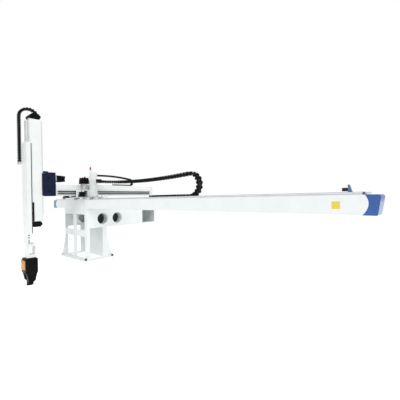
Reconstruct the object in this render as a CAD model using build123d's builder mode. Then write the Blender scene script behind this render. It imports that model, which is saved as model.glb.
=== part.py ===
from build123d import *
import os
from math import cos, pi, radians, sin

os.makedirs("parts", exist_ok=True)

# Servo-driven gantry take-out robot with a two-stage telescopic arm. Millimetres.
# X runs along the traverse beam, Y along the crosswise arm, away from the vertical arm,
# and Z is up. The origin is the middle of the base column, on its underside.

# Base: a welded column with a box arm to the rear
column_width = 920
column_front = -227
column_depth = 403
base_height = 960
base_wall = 12
arm_bottom = 592
arm_rear = 1408
flange_width = 1040
flange_front = -300
flange_rear = 300
flange_thickness = 25
anchor_spacing = 760
anchor_hole = 26
screw_inset = 34
screw_diameter = 24
gusset_height = 350
window_sill_low = 48
window_head_low = 437
window_sill_high = 560
window_head_high = 848
side_opening_width = 256
side_opening_sill = 40
cable_hole = 220
cable_hole_depth = 160
collar_wall = 6
cable_hole_height = 757
cable_hole_y = (88, 403)
rear_window_width = 328
rear_window_head = 900

# Traverse beam
beam_left = -940
beam_length = 5820
beam_height = 160
beam_depth = 200
beam_wall = 8
cap_length = 96
cap_left_length = 60
cap_curve = 30

# Linear guides: rail section and carriage block
rail_width = 23
rail_height = 22
block_width = 48
block_height = 36
block_length = 84
block_gap = 3

# Carriage
traverse_stroke = 4000
plate_left = -40
plate_right = 700
plate_thickness = 16
plate_rear = 60
plate_nose_left = 60
plate_nose_right = 470
plate_nose = -350

# Crosswise arm
crosswise_stroke = 1100
arm_side_x = 288
arm_width = 160
arm_base_z = 1198
arm_height = 196
arm_front = -688
arm_length = 2068
arm_wall = 7
arm_cap_length = 60
side_rail_drop = 120
side_plate = 14
rack_width = 20
rack_height = 24

# Servo motors and gearboxes
motor_square = 118
motor_length = 112
gearbox_square = 96
gearbox_length = 112
shaft_diameter = 24

# Pinions
pinion_module = 4
pinion_teeth = 16
pinion_clearance = 0.5

# Vertical arm
lift_stroke_down = 720
lift_stroke_up = 250
stage_1_front = -1072
stage_1_rear = -904
stage_1_width = 200
stage_1_bottom = 685
stage_1_top = 2560
stage_1_wall = 7
head_height = 94
stage_2_front = -1131
stage_2_bottom = 581
stage_2_top = 2078
stage_2_wall = 10
stage_2_overlap = 12
stage_2_flange = 75
belt_width = 24
belt_thickness = 3
belt_pulley_radius = 86
belt_pulley_width = 28

# End bracket, between the crosswise arm and the vertical arm
bracket_bottom = 1195
bracket_top = 1600
bracket_wall = 14

# Wrist
wrist_width = 150
wrist_depth = 210
wrist_front = -1181
wrist_top = 186
wrist_axis_z = -150
wrist_bracket_top = 418
tool_flange_diameter = 100
tool_bolt_circle = 80
tool_bolt = 8

# Energy chains: link pitch, height, width and bend radius at mid height
traverse_chain = (60, 50, 77, 150)
crosswise_chain = (45, 34, 60, 66)
lift_chain = (45, 44, 70, 144)
chain_plate = 4
chain_bar = 3
chain_y = 30
chain_fixed_x = 1988
chain_moving_x = 480
chain_bend_x = 2829
chain_moving_z = 1463
chain_sag = 50

# Running clearances
clearance = 0.5
shaft_fit = 0.05
running_gap = 4

# Heights and places that follow
beam_bottom = base_height
beam_top = beam_bottom + beam_height
beam_front = column_front
beam_rear = beam_front + beam_depth
beam_right = beam_left + beam_length
beam_middle_y = (beam_front + beam_rear) / 2
column_rear = column_front + column_depth
front_rail_y = beam_front + 16
rear_rail_y = beam_rear - 16
plate_bottom = beam_top + block_height + clearance
plate_top = plate_bottom + plate_thickness
plate_front = beam_front - 13
arm_top = arm_base_z + arm_height
arm_side_x_far = arm_side_x - arm_width
arm_middle_x = arm_side_x - arm_width / 2
arm_rear_y = arm_front + arm_length
side_rail_z = arm_top - side_rail_drop
rack_z = (arm_base_z + 24, arm_base_z + 24 + rack_height)
pinion_radius = pinion_module * pinion_teeth / 2
pinion_tip = pinion_radius + pinion_module * 0.9
pinion_root = pinion_radius - pinion_module * 1.1
stage_x = (arm_side_x - stage_1_width, arm_side_x)
stage_middle_x = (stage_x[0] + stage_x[1]) / 2
stage_middle_y = (stage_1_front + stage_1_rear) / 2
stage_rail_x = (stage_x[0] + 22, stage_x[1] - 22)
belt_x = (stage_rail_x[1] - 54, stage_rail_x[1] - 54 + belt_width)


# Shapes used again and again, drawn inside whatever part is open
def across_x(x):
    return Plane.YZ.offset(x)


def across_y(y):
    return Plane.XZ.offset(-y)


def across_z(z):
    return Plane.XY.offset(z)


def rectangle(a, b, mode=Mode.ADD):
    with Locations(((a[0] + a[1]) / 2, (b[0] + b[1]) / 2)):
        Rectangle(a[1] - a[0], b[1] - b[0], mode=mode)


def bar_x(x, y, z, mode=Mode.ADD):
    with BuildSketch(across_x(x[0])) as outline:
        rectangle(y, z)
    extrude(outline.sketch, amount=x[1] - x[0], mode=mode)


def bar_y(x, y, z, mode=Mode.ADD):
    with BuildSketch(across_y(y[0])) as outline:
        rectangle(x, z)
    extrude(outline.sketch, amount=y[0] - y[1], mode=mode)


def plate_z(x, y, z, corner=0, mode=Mode.ADD):
    with BuildSketch(across_z(z[0])) as outline:
        rectangle(x, y)
        if corner:
            fillet(outline.vertices(), corner)
    extrude(outline.sketch, amount=z[1] - z[0], mode=mode)


def rod_z(x, y, z, radius, mode=Mode.ADD):
    with BuildSketch(across_z(z[0])) as outline:
        with Locations((x, y)):
            Circle(radius)
    extrude(outline.sketch, amount=z[1] - z[0], mode=mode)


def rod_x(x, y, z, radius, mode=Mode.ADD):
    with BuildSketch(across_x(x[0])) as outline:
        with Locations((y, z)):
            Circle(radius)
    extrude(outline.sketch, amount=x[1] - x[0], mode=mode)


def span(middle, size):
    return (middle - size / 2, middle + size / 2)


# One guide block: a steel body with an end seal on each end, over its rail.
# The block runs along the plane's x, and stands off the rail's seat along its normal.
def guide_block(plane):
    with BuildSketch(plane.offset(block_gap)) as foot:
        Rectangle(block_length, block_width)
        Rectangle(block_length + 2, rail_width + 2 * clearance, mode=Mode.SUBTRACT)
    extrude(foot.sketch, amount=rail_height - block_gap + clearance)
    with BuildSketch(plane.offset(rail_height + clearance)) as top:
        Rectangle(block_length, block_width)
    extrude(top.sketch, amount=block_height - rail_height - clearance)


# A pinion's outline: trapezoid teeth on a root circle
def pinion_outline():
    Circle(pinion_root)
    half_root = pinion_module * 1.0
    half_tip = pinion_module * 0.4
    with PolarLocations(0, pinion_teeth):
        with BuildLine() as tooth:
            Polyline((pinion_root - 2, -half_root), (pinion_tip, -half_tip), (pinion_tip, half_tip),
                     (pinion_root - 2, half_root), close=True)
        make_face(tooth.edges())


# One link of an energy chain: two side plates, an outer bar and an inner bar.
# It is drawn about its middle, with its length along X and its height along Z.
def chain_link(chain):
    pitch, height, width, radius = chain
    length = pitch * 0.9
    corner = height * 0.24
    with BuildPart() as link:
        for side in (-1, 1):
            outer = side * width / 2
            with BuildSketch(across_y(outer)):
                Rectangle(length, height)
            extrude(amount=side * chain_plate)
        ends = link.edges().filter_by(Axis.Y)
        chamfer(ends, corner)
        for z in (span(height / 2 - chain_bar, chain_bar), span(chain_bar - height / 2, chain_bar)):
            bar_y(span(0, pitch * 0.36), (-width / 2 + chain_plate, width / 2 - chain_plate), z)
    return link.part


# Places of links along a straight or sagging run from one point to another, in the plane
# whose x axis is given. The links stand at equal steps.
def run_places(start, finish, pitch, across, sag=0):
    flat = finish - start
    count = round(flat.length / pitch)
    places = []
    for i in range(count):
        share = (i + 0.5) / count
        drop = Vector(0, 0, -4 * sag * share * (1 - share))
        slope = Vector(0, 0, -4 * sag * (1 - 2 * share))
        along = (flat + slope).normalized()
        places.append(Plane(origin=start + flat * share + drop, x_dir=along, z_dir=along.cross(across)))
    return places


# Places of links round a half circle about a centre, from one end direction to the other
def bend_places(centre, radius, pitch, first, turn, across):
    count = round(pi * radius / pitch)
    places = []
    for i in range(count):
        angle = radians(first + turn * (i + 0.5) / count)
        flat = Vector(1, 0, 0) if abs(across.Y) > 0.5 else Vector(0, 1, 0)
        outward = flat * cos(angle) + Vector(0, 0, 1) * sin(angle)
        along = outward.cross(across).normalized()
        places.append(Plane(origin=centre + outward * radius, x_dir=along, z_dir=along.cross(across)))
    return places


def add_links(chain, places):
    link = chain_link(chain)
    for place in places:
        add(place.location * link)


# A servo motor: body, rear cover and connector, standing on the plane along its normal
def servo_motor(plane, connector, square=motor_square, length=motor_length):
    with BuildSketch(plane) as flange:
        Rectangle(square, square)
        chamfer(flange.vertices(), square * 0.09)
    extrude(flange.sketch, amount=14)
    with BuildSketch(plane.offset(14)) as body:
        Rectangle(square * 0.94, square * 0.94)
        chamfer(body.vertices(), square * 0.12)
    extrude(body.sketch, amount=length * 0.62)
    with BuildSketch(plane.offset(14 + length * 0.62)) as cover:
        Rectangle(square * 0.84, square * 0.84)
        chamfer(cover.vertices(), square * 0.1)
    extrude(cover.sketch, amount=length * 0.38 - 14)
    with BuildSketch(plane.offset(14 + length * 0.62)) as socket:
        with Locations(connector):
            Circle(15)
    extrude(socket.sketch, amount=length * 0.38 + 18)


# A planetary gearbox, square at the motor and round at the output
def gearbox(plane, square=gearbox_square, length=gearbox_length):
    with BuildSketch(plane) as flange:
        Rectangle(square, square)
        chamfer(flange.vertices(), square * 0.08)
    extrude(flange.sketch, amount=16)
    with BuildSketch(plane.offset(16)) as barrel:
        Circle(square * 0.46)
    extrude(barrel.sketch, amount=length - 46)
    with BuildSketch(plane.offset(length - 30)) as top:
        Rectangle(square, square)
        chamfer(top.vertices(), square * 0.1)
    extrude(top.sketch, amount=30)


# Base frame: column, rear arm, foot flange and gussets, welded into one piece
column_x = span(0, column_width)
opening_y = (-170, -170 + side_opening_width)
window_x = ((-437, -83), (54, 376))
rear_window_y = (1016, 1016 + rear_window_width)
inner_x = (column_x[0] + base_wall, column_x[1] - base_wall)
inner_y = (column_front + base_wall, column_rear - base_wall)
flange_x = span(0, flange_width)
flange_y = (flange_front, flange_rear)

with BuildPart() as base_frame:
    plate_z(flange_x, flange_y, (0, flange_thickness), corner=20)
    bar_y(column_x, (column_front, column_rear), (flange_thickness, base_height))
    bar_y(column_x, (column_rear, arm_rear), (arm_bottom, base_height))
    bar_y(inner_x, inner_y, (0, base_height - base_wall), mode=Mode.SUBTRACT)
    bar_y(inner_x, (inner_y[1] - 1, arm_rear - base_wall), (arm_bottom + base_wall, base_height - base_wall),
          mode=Mode.SUBTRACT)
    for x in window_x:
        for z in ((window_sill_low, window_head_low), (window_sill_high, window_head_high)):
            bar_y(x, (column_front - 1, inner_y[0] + 1), z, mode=Mode.SUBTRACT)
    bar_x((column_x[0] - 1, column_x[1] + 1), opening_y, (side_opening_sill, arm_bottom), mode=Mode.SUBTRACT)
    bar_x((column_x[0] - 1, column_x[1] + 1), rear_window_y, (arm_bottom + 20, rear_window_head),
          mode=Mode.SUBTRACT)
    for y in cable_hole_y:
        rod_x((column_x[0] - 1, column_x[1] + 1), y, cable_hole_height, cable_hole / 2, mode=Mode.SUBTRACT)
    for side in (-1, 1):
        with BuildSketch(across_x(side * (column_width / 2 - base_wall))):
            for face_y, reach in ((column_front, flange_front + 15), (column_rear, flange_rear - 15)):
                with BuildLine():
                    Polyline((face_y, flange_thickness), (reach, flange_thickness), (reach, flange_thickness + 20),
                             (face_y, flange_thickness + gusset_height), close=True)
                make_face()
        extrude(amount=side * base_wall)
    for y in cable_hole_y:
        for side in (-1, 1):
            with BuildSketch(across_x(side * column_width / 2)):
                with Locations((y, cable_hole_height)):
                    Circle(cable_hole / 2)
                    Circle(cable_hole / 2 - collar_wall, mode=Mode.SUBTRACT)
            extrude(amount=-side * cable_hole_depth)
    foot_y = (flange_front + screw_inset, flange_rear - screw_inset)
    anchor_places = [(side * anchor_spacing / 2, y) for side in (-1, 1) for y in foot_y]
    for x, y in anchor_places:
        rod_z(x, y, (-1, flange_thickness + 1), anchor_hole / 2, mode=Mode.SUBTRACT)
    screw_x = flange_width / 2 - screw_inset
    screw_places = [(side * screw_x, y) for side in (-1, 1) for y in foot_y]
    for x, y in screw_places:
        rod_z(x, y, (-1, flange_thickness + 1), screw_diameter / 2, mode=Mode.SUBTRACT)
base_frame.part.label = "base_frame"
export_step(base_frame.part, "parts/base_frame.step")

# Levelling screws in the corners of the foot flange, with their lock nuts
with BuildPart() as levelling_screws:
    for x, y in screw_places:
        rod_z(x, y, (1, flange_thickness + 34), screw_diameter / 2 - 0.05)
        with BuildSketch(across_z(flange_thickness + 0.3)):
            with Locations((x, y)):
                RegularPolygon(screw_diameter * 0.85, 6)
        extrude(amount=18)
levelling_screws.part.label = "levelling_screws"
export_step(levelling_screws.part, "parts/levelling_screws.step")

# Traverse beam: a hollow extrusion with a web down its middle
with BuildPart() as traverse_beam:
    with BuildSketch(across_x(beam_left)):
        rectangle((beam_front, beam_rear), (beam_bottom, beam_top))
        for y in ((beam_front + beam_wall, beam_middle_y - beam_wall / 2),
                  (beam_middle_y + beam_wall / 2, beam_rear - beam_wall)):
            rectangle(y, (beam_bottom + beam_wall, beam_top - beam_wall), mode=Mode.SUBTRACT)
    extrude(amount=beam_length)
traverse_beam.part.label = "traverse_beam"
export_step(traverse_beam.part, "parts/traverse_beam.step")

# Moulded end caps, with a rounded slanting nose on the right one
with BuildPart() as beam_cap_right:
    with BuildSketch(across_y(beam_front)) as side:
        with BuildLine():
            Polyline((beam_right, beam_bottom), (beam_right + cap_length * 0.62, beam_bottom),
                     (beam_right + cap_length, beam_bottom + cap_curve),
                     (beam_right + cap_length * 0.84, beam_top - cap_curve),
                     (beam_right + cap_length * 0.52, beam_top), (beam_right, beam_top), close=True)
        make_face()
        fillet(side.vertices().group_by(Axis.X)[-1], cap_curve * 0.5)
    extrude(amount=-beam_depth)
beam_cap_right.part.label = "beam_cap_right"
export_step(beam_cap_right.part, "parts/beam_cap_right.step")

with BuildPart() as beam_cap_left:
    with BuildSketch(across_y(beam_front)) as side:
        rectangle((beam_left - cap_left_length, beam_left), (beam_bottom, beam_top))
        fillet(side.vertices().group_by(Axis.X)[0], cap_curve)
    extrude(amount=-beam_depth)
beam_cap_left.part.label = "beam_cap_left"
export_step(beam_cap_left.part, "parts/beam_cap_left.step")

# Traverse rails and rack, on top of the beam
rack_front_y = beam_middle_y + 14
rail_end_gap = 20
with BuildPart() as traverse_track:
    for y in (front_rail_y, rear_rail_y):
        bar_x((beam_left + rail_end_gap, beam_right - rail_end_gap), span(y, rail_width),
              (beam_top, beam_top + rail_height))
    bar_x((beam_left + rail_end_gap, beam_right - rail_end_gap), (rack_front_y, rack_front_y + rack_width),
          (beam_top, beam_top + rack_height))
traverse_track.part.label = "traverse_track"
export_step(traverse_track.part, "parts/traverse_track.step")

# End stops on the beam: a folded bracket and a rubber bumper at each end of the stroke
tray_left = -600
bumper_length = 44
bumper_gap = 6
stop_reach = bumper_length + bumper_gap
stop_faces = ((tray_left - stop_reach, -1), (plate_right + traverse_stroke + stop_reach, 1))
stop_length = 100
stop_plate = 10
bumper_z = plate_bottom + plate_thickness / 2
with BuildPart() as end_stops:
    for face, side in stop_faces:
        with BuildSketch(across_y(beam_middle_y - 45)):
            with BuildLine():
                foot = beam_top
                Polyline((face, foot), (face + side * stop_length, foot),
                         (face + side * stop_length, foot + stop_plate),
                         (face + side * 3 * stop_plate, foot + stop_plate + 10),
                         (face + side * stop_plate, foot + 84), (face, foot + 84), close=True)
            make_face()
        extrude(amount=-34)
end_stops.part.label = "end_stops"
export_step(end_stops.part, "parts/end_stops.step")

with BuildPart() as stop_bumpers:
    for face, side in stop_faces:
        inner = face - side * bumper_length
        rod_x(sorted((face, inner)), beam_middle_y - 28, bumper_z, 15)
stop_bumpers.part.label = "stop_bumpers"
export_step(stop_bumpers.part, "parts/stop_bumpers.step")

# Chain trough: a folded steel channel bracketed to the back of the beam
pitch, chain_height, chain_width, chain_radius = traverse_chain
trough_sheet = 3
trough_floor = beam_top - trough_sheet
trough_y = (chain_y - chain_width / 2 - 5 - trough_sheet, chain_y + chain_width / 2 + 5 + trough_sheet)
trough_x = (chain_fixed_x - 60, beam_right)
trough_lip = 26
with BuildPart() as chain_trough:
    with BuildSketch(across_x(trough_x[0])):
        rectangle(trough_y, (trough_floor, trough_floor + trough_lip))
        rectangle((trough_y[0] + trough_sheet, trough_y[1] - trough_sheet),
                  (trough_floor + trough_sheet, trough_floor + trough_lip), mode=Mode.SUBTRACT)
    extrude(amount=trough_x[1] - trough_x[0])
    for i in range(7):
        x = trough_x[0] + 40 + i * (trough_x[1] - trough_x[0] - 80) / 6
        with BuildSketch(across_x(x - 20)):
            with BuildLine():
                Polyline((beam_rear, trough_floor), (trough_y[1], trough_floor), (trough_y[1], trough_floor - 12),
                         (beam_rear + 8, trough_floor - 90), (beam_rear, trough_floor - 90), close=True)
            make_face()
        extrude(amount=40)
chain_trough.part.label = "chain_trough"
export_step(chain_trough.part, "parts/chain_trough.step")

# Traverse energy chain: lower run in the trough, bend, and upper run to the carriage
chain_low_z = trough_floor + trough_sheet + chain_height / 2 + clearance
chain_bend_z = chain_low_z + chain_radius
along_y = Vector(0, 1, 0)
along_x = Vector(1, 0, 0)
with BuildPart() as traverse_chain_lower:
    add_links(traverse_chain, run_places(Vector(chain_fixed_x, chain_y, chain_low_z),
                                         Vector(chain_bend_x, chain_y, chain_low_z), pitch, along_y))
    bar_x((chain_fixed_x - 30, chain_fixed_x), span(chain_y, chain_width - 2 * chain_plate - 2),
          (trough_floor + trough_sheet, chain_low_z + chain_height / 2))
traverse_chain_lower.part.label = "traverse_chain_lower"
export_step(traverse_chain_lower.part, "parts/traverse_chain_lower.step")

with BuildPart() as traverse_chain_bend:
    add_links(traverse_chain, bend_places(Vector(chain_bend_x, chain_y, chain_bend_z), chain_radius, pitch,
                                          -90, 180, along_y))
traverse_chain_bend.part.label = "traverse_chain_bend"
export_step(traverse_chain_bend.part, "parts/traverse_chain_bend.step")

with BuildPart() as traverse_chain_upper:
    add_links(traverse_chain, run_places(Vector(chain_moving_x, chain_y, chain_moving_z),
                                         Vector(chain_bend_x, chain_y, chain_bend_z + chain_radius), pitch,
                                         along_y, sag=chain_sag))
traverse_chain_upper.part.label = "traverse_chain_upper"
export_step(traverse_chain_upper.part, "parts/traverse_chain_upper.step")

# Carriage plate, wide over the beam with a nose under the crosswise arm
drive_x = arm_side_x + rack_width + pinion_tip + pinion_clearance
drive_y = -208
side_seat = (arm_side_x + block_height, arm_side_x_far - block_height)
traverse_drive_x = side_seat[1] - side_plate - running_gap - motor_square / 2
traverse_drive_y = rack_front_y - pinion_tip - pinion_clearance
with BuildPart() as carriage_plate:
    with BuildSketch(across_z(plate_bottom)) as outline:
        rectangle((plate_left, plate_right), (plate_front, plate_rear))
        rectangle((plate_nose_left, plate_nose_right), (plate_nose, plate_front))
        chamfer(outline.vertices().group_by(Axis.Y)[0], 25)
    extrude(amount=plate_thickness)
    rod_z(traverse_drive_x, traverse_drive_y, (plate_bottom - 1, plate_top + 1), shaft_diameter / 2 + 4,
          mode=Mode.SUBTRACT)
    plate_z((plate_nose_right + 60, plate_right - 50), (beam_front + 50, beam_rear - 50),
            (plate_bottom - 1, plate_top + 1), mode=Mode.SUBTRACT)
carriage_plate.part.label = "carriage_plate"
export_step(carriage_plate.part, "parts/carriage_plate.step")

block_x = (plate_left + 60, plate_right - 60)
with BuildPart() as traverse_guide_blocks:
    for x in block_x:
        for y in (front_rail_y, rear_rail_y):
            guide_block(Plane((x, y, beam_top)))
traverse_guide_blocks.part.label = "traverse_guide_blocks"
export_step(traverse_guide_blocks.part, "parts/traverse_guide_blocks.step")

# Traverse drive, behind the crosswise arm: gearbox, servo motor and pinion
with BuildPart() as traverse_gearbox:
    gearbox(Plane((traverse_drive_x, traverse_drive_y, plate_top)))
traverse_gearbox.part.label = "traverse_gearbox"
export_step(traverse_gearbox.part, "parts/traverse_gearbox.step")

with BuildPart() as traverse_motor:
    servo_motor(Plane((traverse_drive_x, traverse_drive_y, plate_top + gearbox_length)), (-33, 0))
traverse_motor.part.label = "traverse_motor"
export_step(traverse_motor.part, "parts/traverse_motor.step")

with BuildPart() as traverse_pinion:
    with BuildSketch(Plane((traverse_drive_x, traverse_drive_y, beam_top + 2))):
        pinion_outline()
    extrude(amount=rack_height - 2)
    rod_z(traverse_drive_x, traverse_drive_y, (beam_top + rack_height, plate_top - clearance), shaft_diameter / 2)
traverse_pinion.part.label = "traverse_pinion"
export_step(traverse_pinion.part, "parts/traverse_pinion.step")

# Side brackets that carry the crosswise guide blocks, one each side of the arm
side_block_y = (-300, -10)
side_bracket_y = (plate_nose, plate_rear)
with BuildPart() as side_brackets:
    for seat, side in ((side_seat[0], 1), (side_seat[1], -1)):
        with BuildSketch(across_x(seat)):
            rectangle(side_bracket_y, (plate_top, side_rail_z + block_width / 2 + 10))
            if side > 0:
                rectangle(span(drive_y, gearbox_square + 2 * running_gap), (plate_top + 16, side_rail_z + block_width),
                          mode=Mode.SUBTRACT)
        extrude(amount=side * side_plate)
        for y in side_bracket_y:
            inward = 1 if y == plate_nose else -1
            foot_y = sorted((y, y + inward * 12))
            foot_x = sorted((seat + side * side_plate, seat + side * (side_plate + 40)))
            bar_y(foot_x, foot_y, (plate_top, plate_top + 60))
side_brackets.part.label = "side_brackets"
export_step(side_brackets.part, "parts/side_brackets.step")

with BuildPart() as crosswise_guide_blocks:
    for y in side_block_y:
        guide_block(Plane((arm_side_x, y, side_rail_z), x_dir=(0, 1, 0), z_dir=(1, 0, 0)))
        guide_block(Plane((arm_side_x_far, y, side_rail_z), x_dir=(0, 1, 0), z_dir=(-1, 0, 0)))
crosswise_guide_blocks.part.label = "crosswise_guide_blocks"
export_step(crosswise_guide_blocks.part, "parts/crosswise_guide_blocks.step")

# Crosswise drive, in front of the beam: bracket, gearbox, servo motor and pinion
drive_plate_z = (side_rail_z + rail_width / 2 + running_gap, side_rail_z + rail_width / 2 + running_gap + 12)
drive_reach = 66
with BuildPart() as drive_bracket:
    drive_x_span = (arm_side_x + running_gap, drive_x + drive_reach)
    with BuildSketch(across_z(drive_plate_z[0])):
        rectangle(drive_x_span, span(drive_y, gearbox_square))
        with Locations((drive_x, drive_y)):
            Circle(shaft_diameter / 2 + 4, mode=Mode.SUBTRACT)
    extrude(amount=drive_plate_z[1] - drive_plate_z[0])
    for y in (drive_y - gearbox_square / 2, drive_y + gearbox_square / 2 - 12):
        bar_y((drive_x + 12, drive_x + drive_reach), (y, y + 12), (plate_top, drive_plate_z[0]))
drive_bracket.part.label = "drive_bracket"
export_step(drive_bracket.part, "parts/drive_bracket.step")

with BuildPart() as crosswise_gearbox:
    gearbox(Plane((drive_x, drive_y, drive_plate_z[1])))
crosswise_gearbox.part.label = "crosswise_gearbox"
export_step(crosswise_gearbox.part, "parts/crosswise_gearbox.step")

with BuildPart() as crosswise_motor:
    servo_motor(Plane((drive_x, drive_y, drive_plate_z[1] + gearbox_length)), (33, 0))
crosswise_motor.part.label = "crosswise_motor"
export_step(crosswise_motor.part, "parts/crosswise_motor.step")

with BuildPart() as crosswise_pinion:
    with BuildSketch(Plane((drive_x, drive_y, rack_z[0]))):
        pinion_outline()
    extrude(amount=rack_height)
    rod_z(drive_x, drive_y, (rack_z[1], drive_plate_z[1] - clearance), shaft_diameter / 2)
crosswise_pinion.part.label = "crosswise_pinion"
export_step(crosswise_pinion.part, "parts/crosswise_pinion.step")

# Chain tower: a folded plate beside the arm that carries the ends of two chains and the lamp
tower_x = side_seat[0] + side_plate
tower_y = (-105, 20)
tower_top = 1640
cross_pitch, cross_height, cross_width, cross_radius = crosswise_chain
cross_start = Vector(arm_middle_x, 64, 1590)
lamp_place = (tower_x + 18, -86)
with BuildPart() as chain_tower:
    bar_x((tower_x, tower_x + 8), tower_y, (plate_top, tower_top))
    bar_x((tower_x, tower_x + 60), (tower_y[1] - 8, tower_y[1]), (plate_top, tower_top))
    arm_z = cross_start.Z - cross_height / 2
    plate_z((arm_middle_x - cross_width / 2, tower_x), (tower_y[1] - 70, tower_y[1] + 44), (arm_z - 6, arm_z))
    plate_z((tower_x, chain_moving_x), (chain_y - chain_width / 2, chain_y + chain_width / 2),
            (chain_moving_z - chain_height / 2 - 8, chain_moving_z - chain_height / 2))
    rod_z(lamp_place[0], lamp_place[1], (tower_top - 60, tower_top + 30), 10)
    rod_z(lamp_place[0], lamp_place[1], (tower_top + 30, tower_top + 36), 24)
chain_tower.part.label = "chain_tower"
export_step(chain_tower.part, "parts/chain_tower.step")

# Connector blocks that close the chains' ends at the tower
with BuildPart() as chain_connectors:
    bar_x((tower_x + 70, chain_moving_x), span(chain_y, chain_width - 2),
          (chain_moving_z - chain_height / 2, chain_moving_z + chain_height / 2 + 16))
    bar_y(span(arm_middle_x, cross_width - 2), (cross_start.Y - 60, cross_start.Y - 2),
          span(cross_start.Z, cross_height))
chain_connectors.part.label = "chain_connectors"
export_step(chain_connectors.part, "parts/chain_connectors.step")

# Signal lamp on its stem
with BuildPart() as lamp_lens:
    rod_z(lamp_place[0], lamp_place[1], (tower_top + 36, tower_top + 100), 22)
    chamfer(lamp_lens.faces().sort_by(Axis.Z)[-1].edges(), 6)
lamp_lens.part.label = "lamp_lens"
export_step(lamp_lens.part, "parts/lamp_lens.step")

# Cable tray on the left of the carriage, with the hose bundle in it
tray_y = (beam_front - 2, beam_rear - 30)
tray_z = plate_bottom
tray_sheet = 3
with BuildPart() as cable_tray:
    with BuildSketch(across_x(tray_left)):
        rectangle(tray_y, (tray_z, tray_z + 30))
        rectangle((tray_y[0] + tray_sheet, tray_y[1] - tray_sheet), (tray_z + tray_sheet, tray_z + 31),
                  mode=Mode.SUBTRACT)
    extrude(amount=plate_left - tray_left)
cable_tray.part.label = "cable_tray"
export_step(cable_tray.part, "parts/cable_tray.step")

hose_radius = 17
with BuildPart() as hose_bundle:
    for i, y in enumerate((tray_y[0] + 26, tray_y[0] + 66, tray_y[0] + 106)):
        lift = tray_z + tray_sheet + hose_radius + clearance
        left = tray_left + 24 + 46 * i
        rod_x((left, plate_left - clearance), y, lift, hose_radius)
hose_bundle.part.label = "hose_bundle"
export_step(hose_bundle.part, "parts/hose_bundle.step")

# Crosswise arm: extruded beam, with a moulded cap on its far end
with BuildPart() as crosswise_beam:
    with BuildSketch(across_y(arm_front)):
        rectangle((arm_side_x_far, arm_side_x), (arm_base_z, arm_top))
        for z in ((arm_base_z + arm_wall, arm_base_z + 92), (arm_base_z + 92 + arm_wall, arm_top - arm_wall)):
            rectangle((arm_side_x_far + arm_wall, arm_side_x - arm_wall), z, mode=Mode.SUBTRACT)
    extrude(amount=-arm_length)
crosswise_beam.part.label = "crosswise_beam"
export_step(crosswise_beam.part, "parts/crosswise_beam.step")

with BuildPart() as crosswise_cap:
    with BuildSketch(across_x(arm_side_x_far)) as side:
        rectangle((arm_rear_y, arm_rear_y + arm_cap_length), (arm_base_z, arm_top))
        fillet(side.vertices().group_by(Axis.Y)[-1].sort_by(Axis.Z)[-1], arm_cap_length * 0.9)
    extrude(amount=arm_width)
crosswise_cap.part.label = "crosswise_cap"
export_step(crosswise_cap.part, "parts/crosswise_cap.step")

side_rail_y = (arm_front + 30, arm_rear_y - 30)
with BuildPart() as crosswise_track:
    for x in ((arm_side_x, arm_side_x + rail_height), (arm_side_x_far - rail_height, arm_side_x_far)):
        bar_y(x, side_rail_y, span(side_rail_z, rail_width))
    bar_y((arm_side_x, arm_side_x + rack_width), side_rail_y, rack_z)
crosswise_track.part.label = "crosswise_track"
export_step(crosswise_track.part, "parts/crosswise_track.step")

# Crosswise energy chain: lower run on the arm, bend, and upper run to the tower
cross_low_z = arm_top + trough_sheet + cross_height / 2 + clearance
cross_bend_z = cross_low_z + cross_radius
cross_bend_y = 874
cross_fixed_y = 470
with BuildPart() as crosswise_chain_tray:
    with BuildSketch(across_y(-110)):
        rectangle(span(arm_middle_x, cross_width + 16), (arm_top, arm_top + 14))
        rectangle(span(arm_middle_x, cross_width + 10), (arm_top + trough_sheet, arm_top + 15), mode=Mode.SUBTRACT)
    extrude(amount=-(cross_bend_y + 160))
crosswise_chain_tray.part.label = "crosswise_chain_tray"
export_step(crosswise_chain_tray.part, "parts/crosswise_chain_tray.step")

with BuildPart() as crosswise_chain_lower:
    add_links(crosswise_chain, run_places(Vector(arm_middle_x, cross_fixed_y, cross_low_z),
                                          Vector(arm_middle_x, cross_bend_y, cross_low_z), cross_pitch, along_x))
crosswise_chain_lower.part.label = "crosswise_chain_lower"
export_step(crosswise_chain_lower.part, "parts/crosswise_chain_lower.step")

with BuildPart() as crosswise_chain_bend:
    add_links(crosswise_chain, bend_places(Vector(arm_middle_x, cross_bend_y, cross_bend_z), cross_radius,
                                           cross_pitch, -90, 180, along_x))
crosswise_chain_bend.part.label = "crosswise_chain_bend"
export_step(crosswise_chain_bend.part, "parts/crosswise_chain_bend.step")

with BuildPart() as crosswise_chain_upper:
    add_links(crosswise_chain, run_places(cross_start, Vector(arm_middle_x, cross_bend_y, cross_bend_z + cross_radius),
                                          cross_pitch, along_x, sag=-24))
crosswise_chain_upper.part.label = "crosswise_chain_upper"
export_step(crosswise_chain_upper.part, "parts/crosswise_chain_upper.step")

# Places of the lift energy chain, on the far side of the vertical arm
lift_pitch, lift_height, lift_width, lift_radius = lift_chain
stage_2_x = (stage_x[0] - stage_2_overlap, stage_x[1] + stage_2_overlap)
lift_chain_x = stage_2_x[0] - lift_width / 2 - 14
lift_front_y = -1152
lift_rear_y = lift_front_y + 2 * lift_radius
lift_bend_z = 2543
lift_front_z = 1771
lift_fixed_z = 1640

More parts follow.
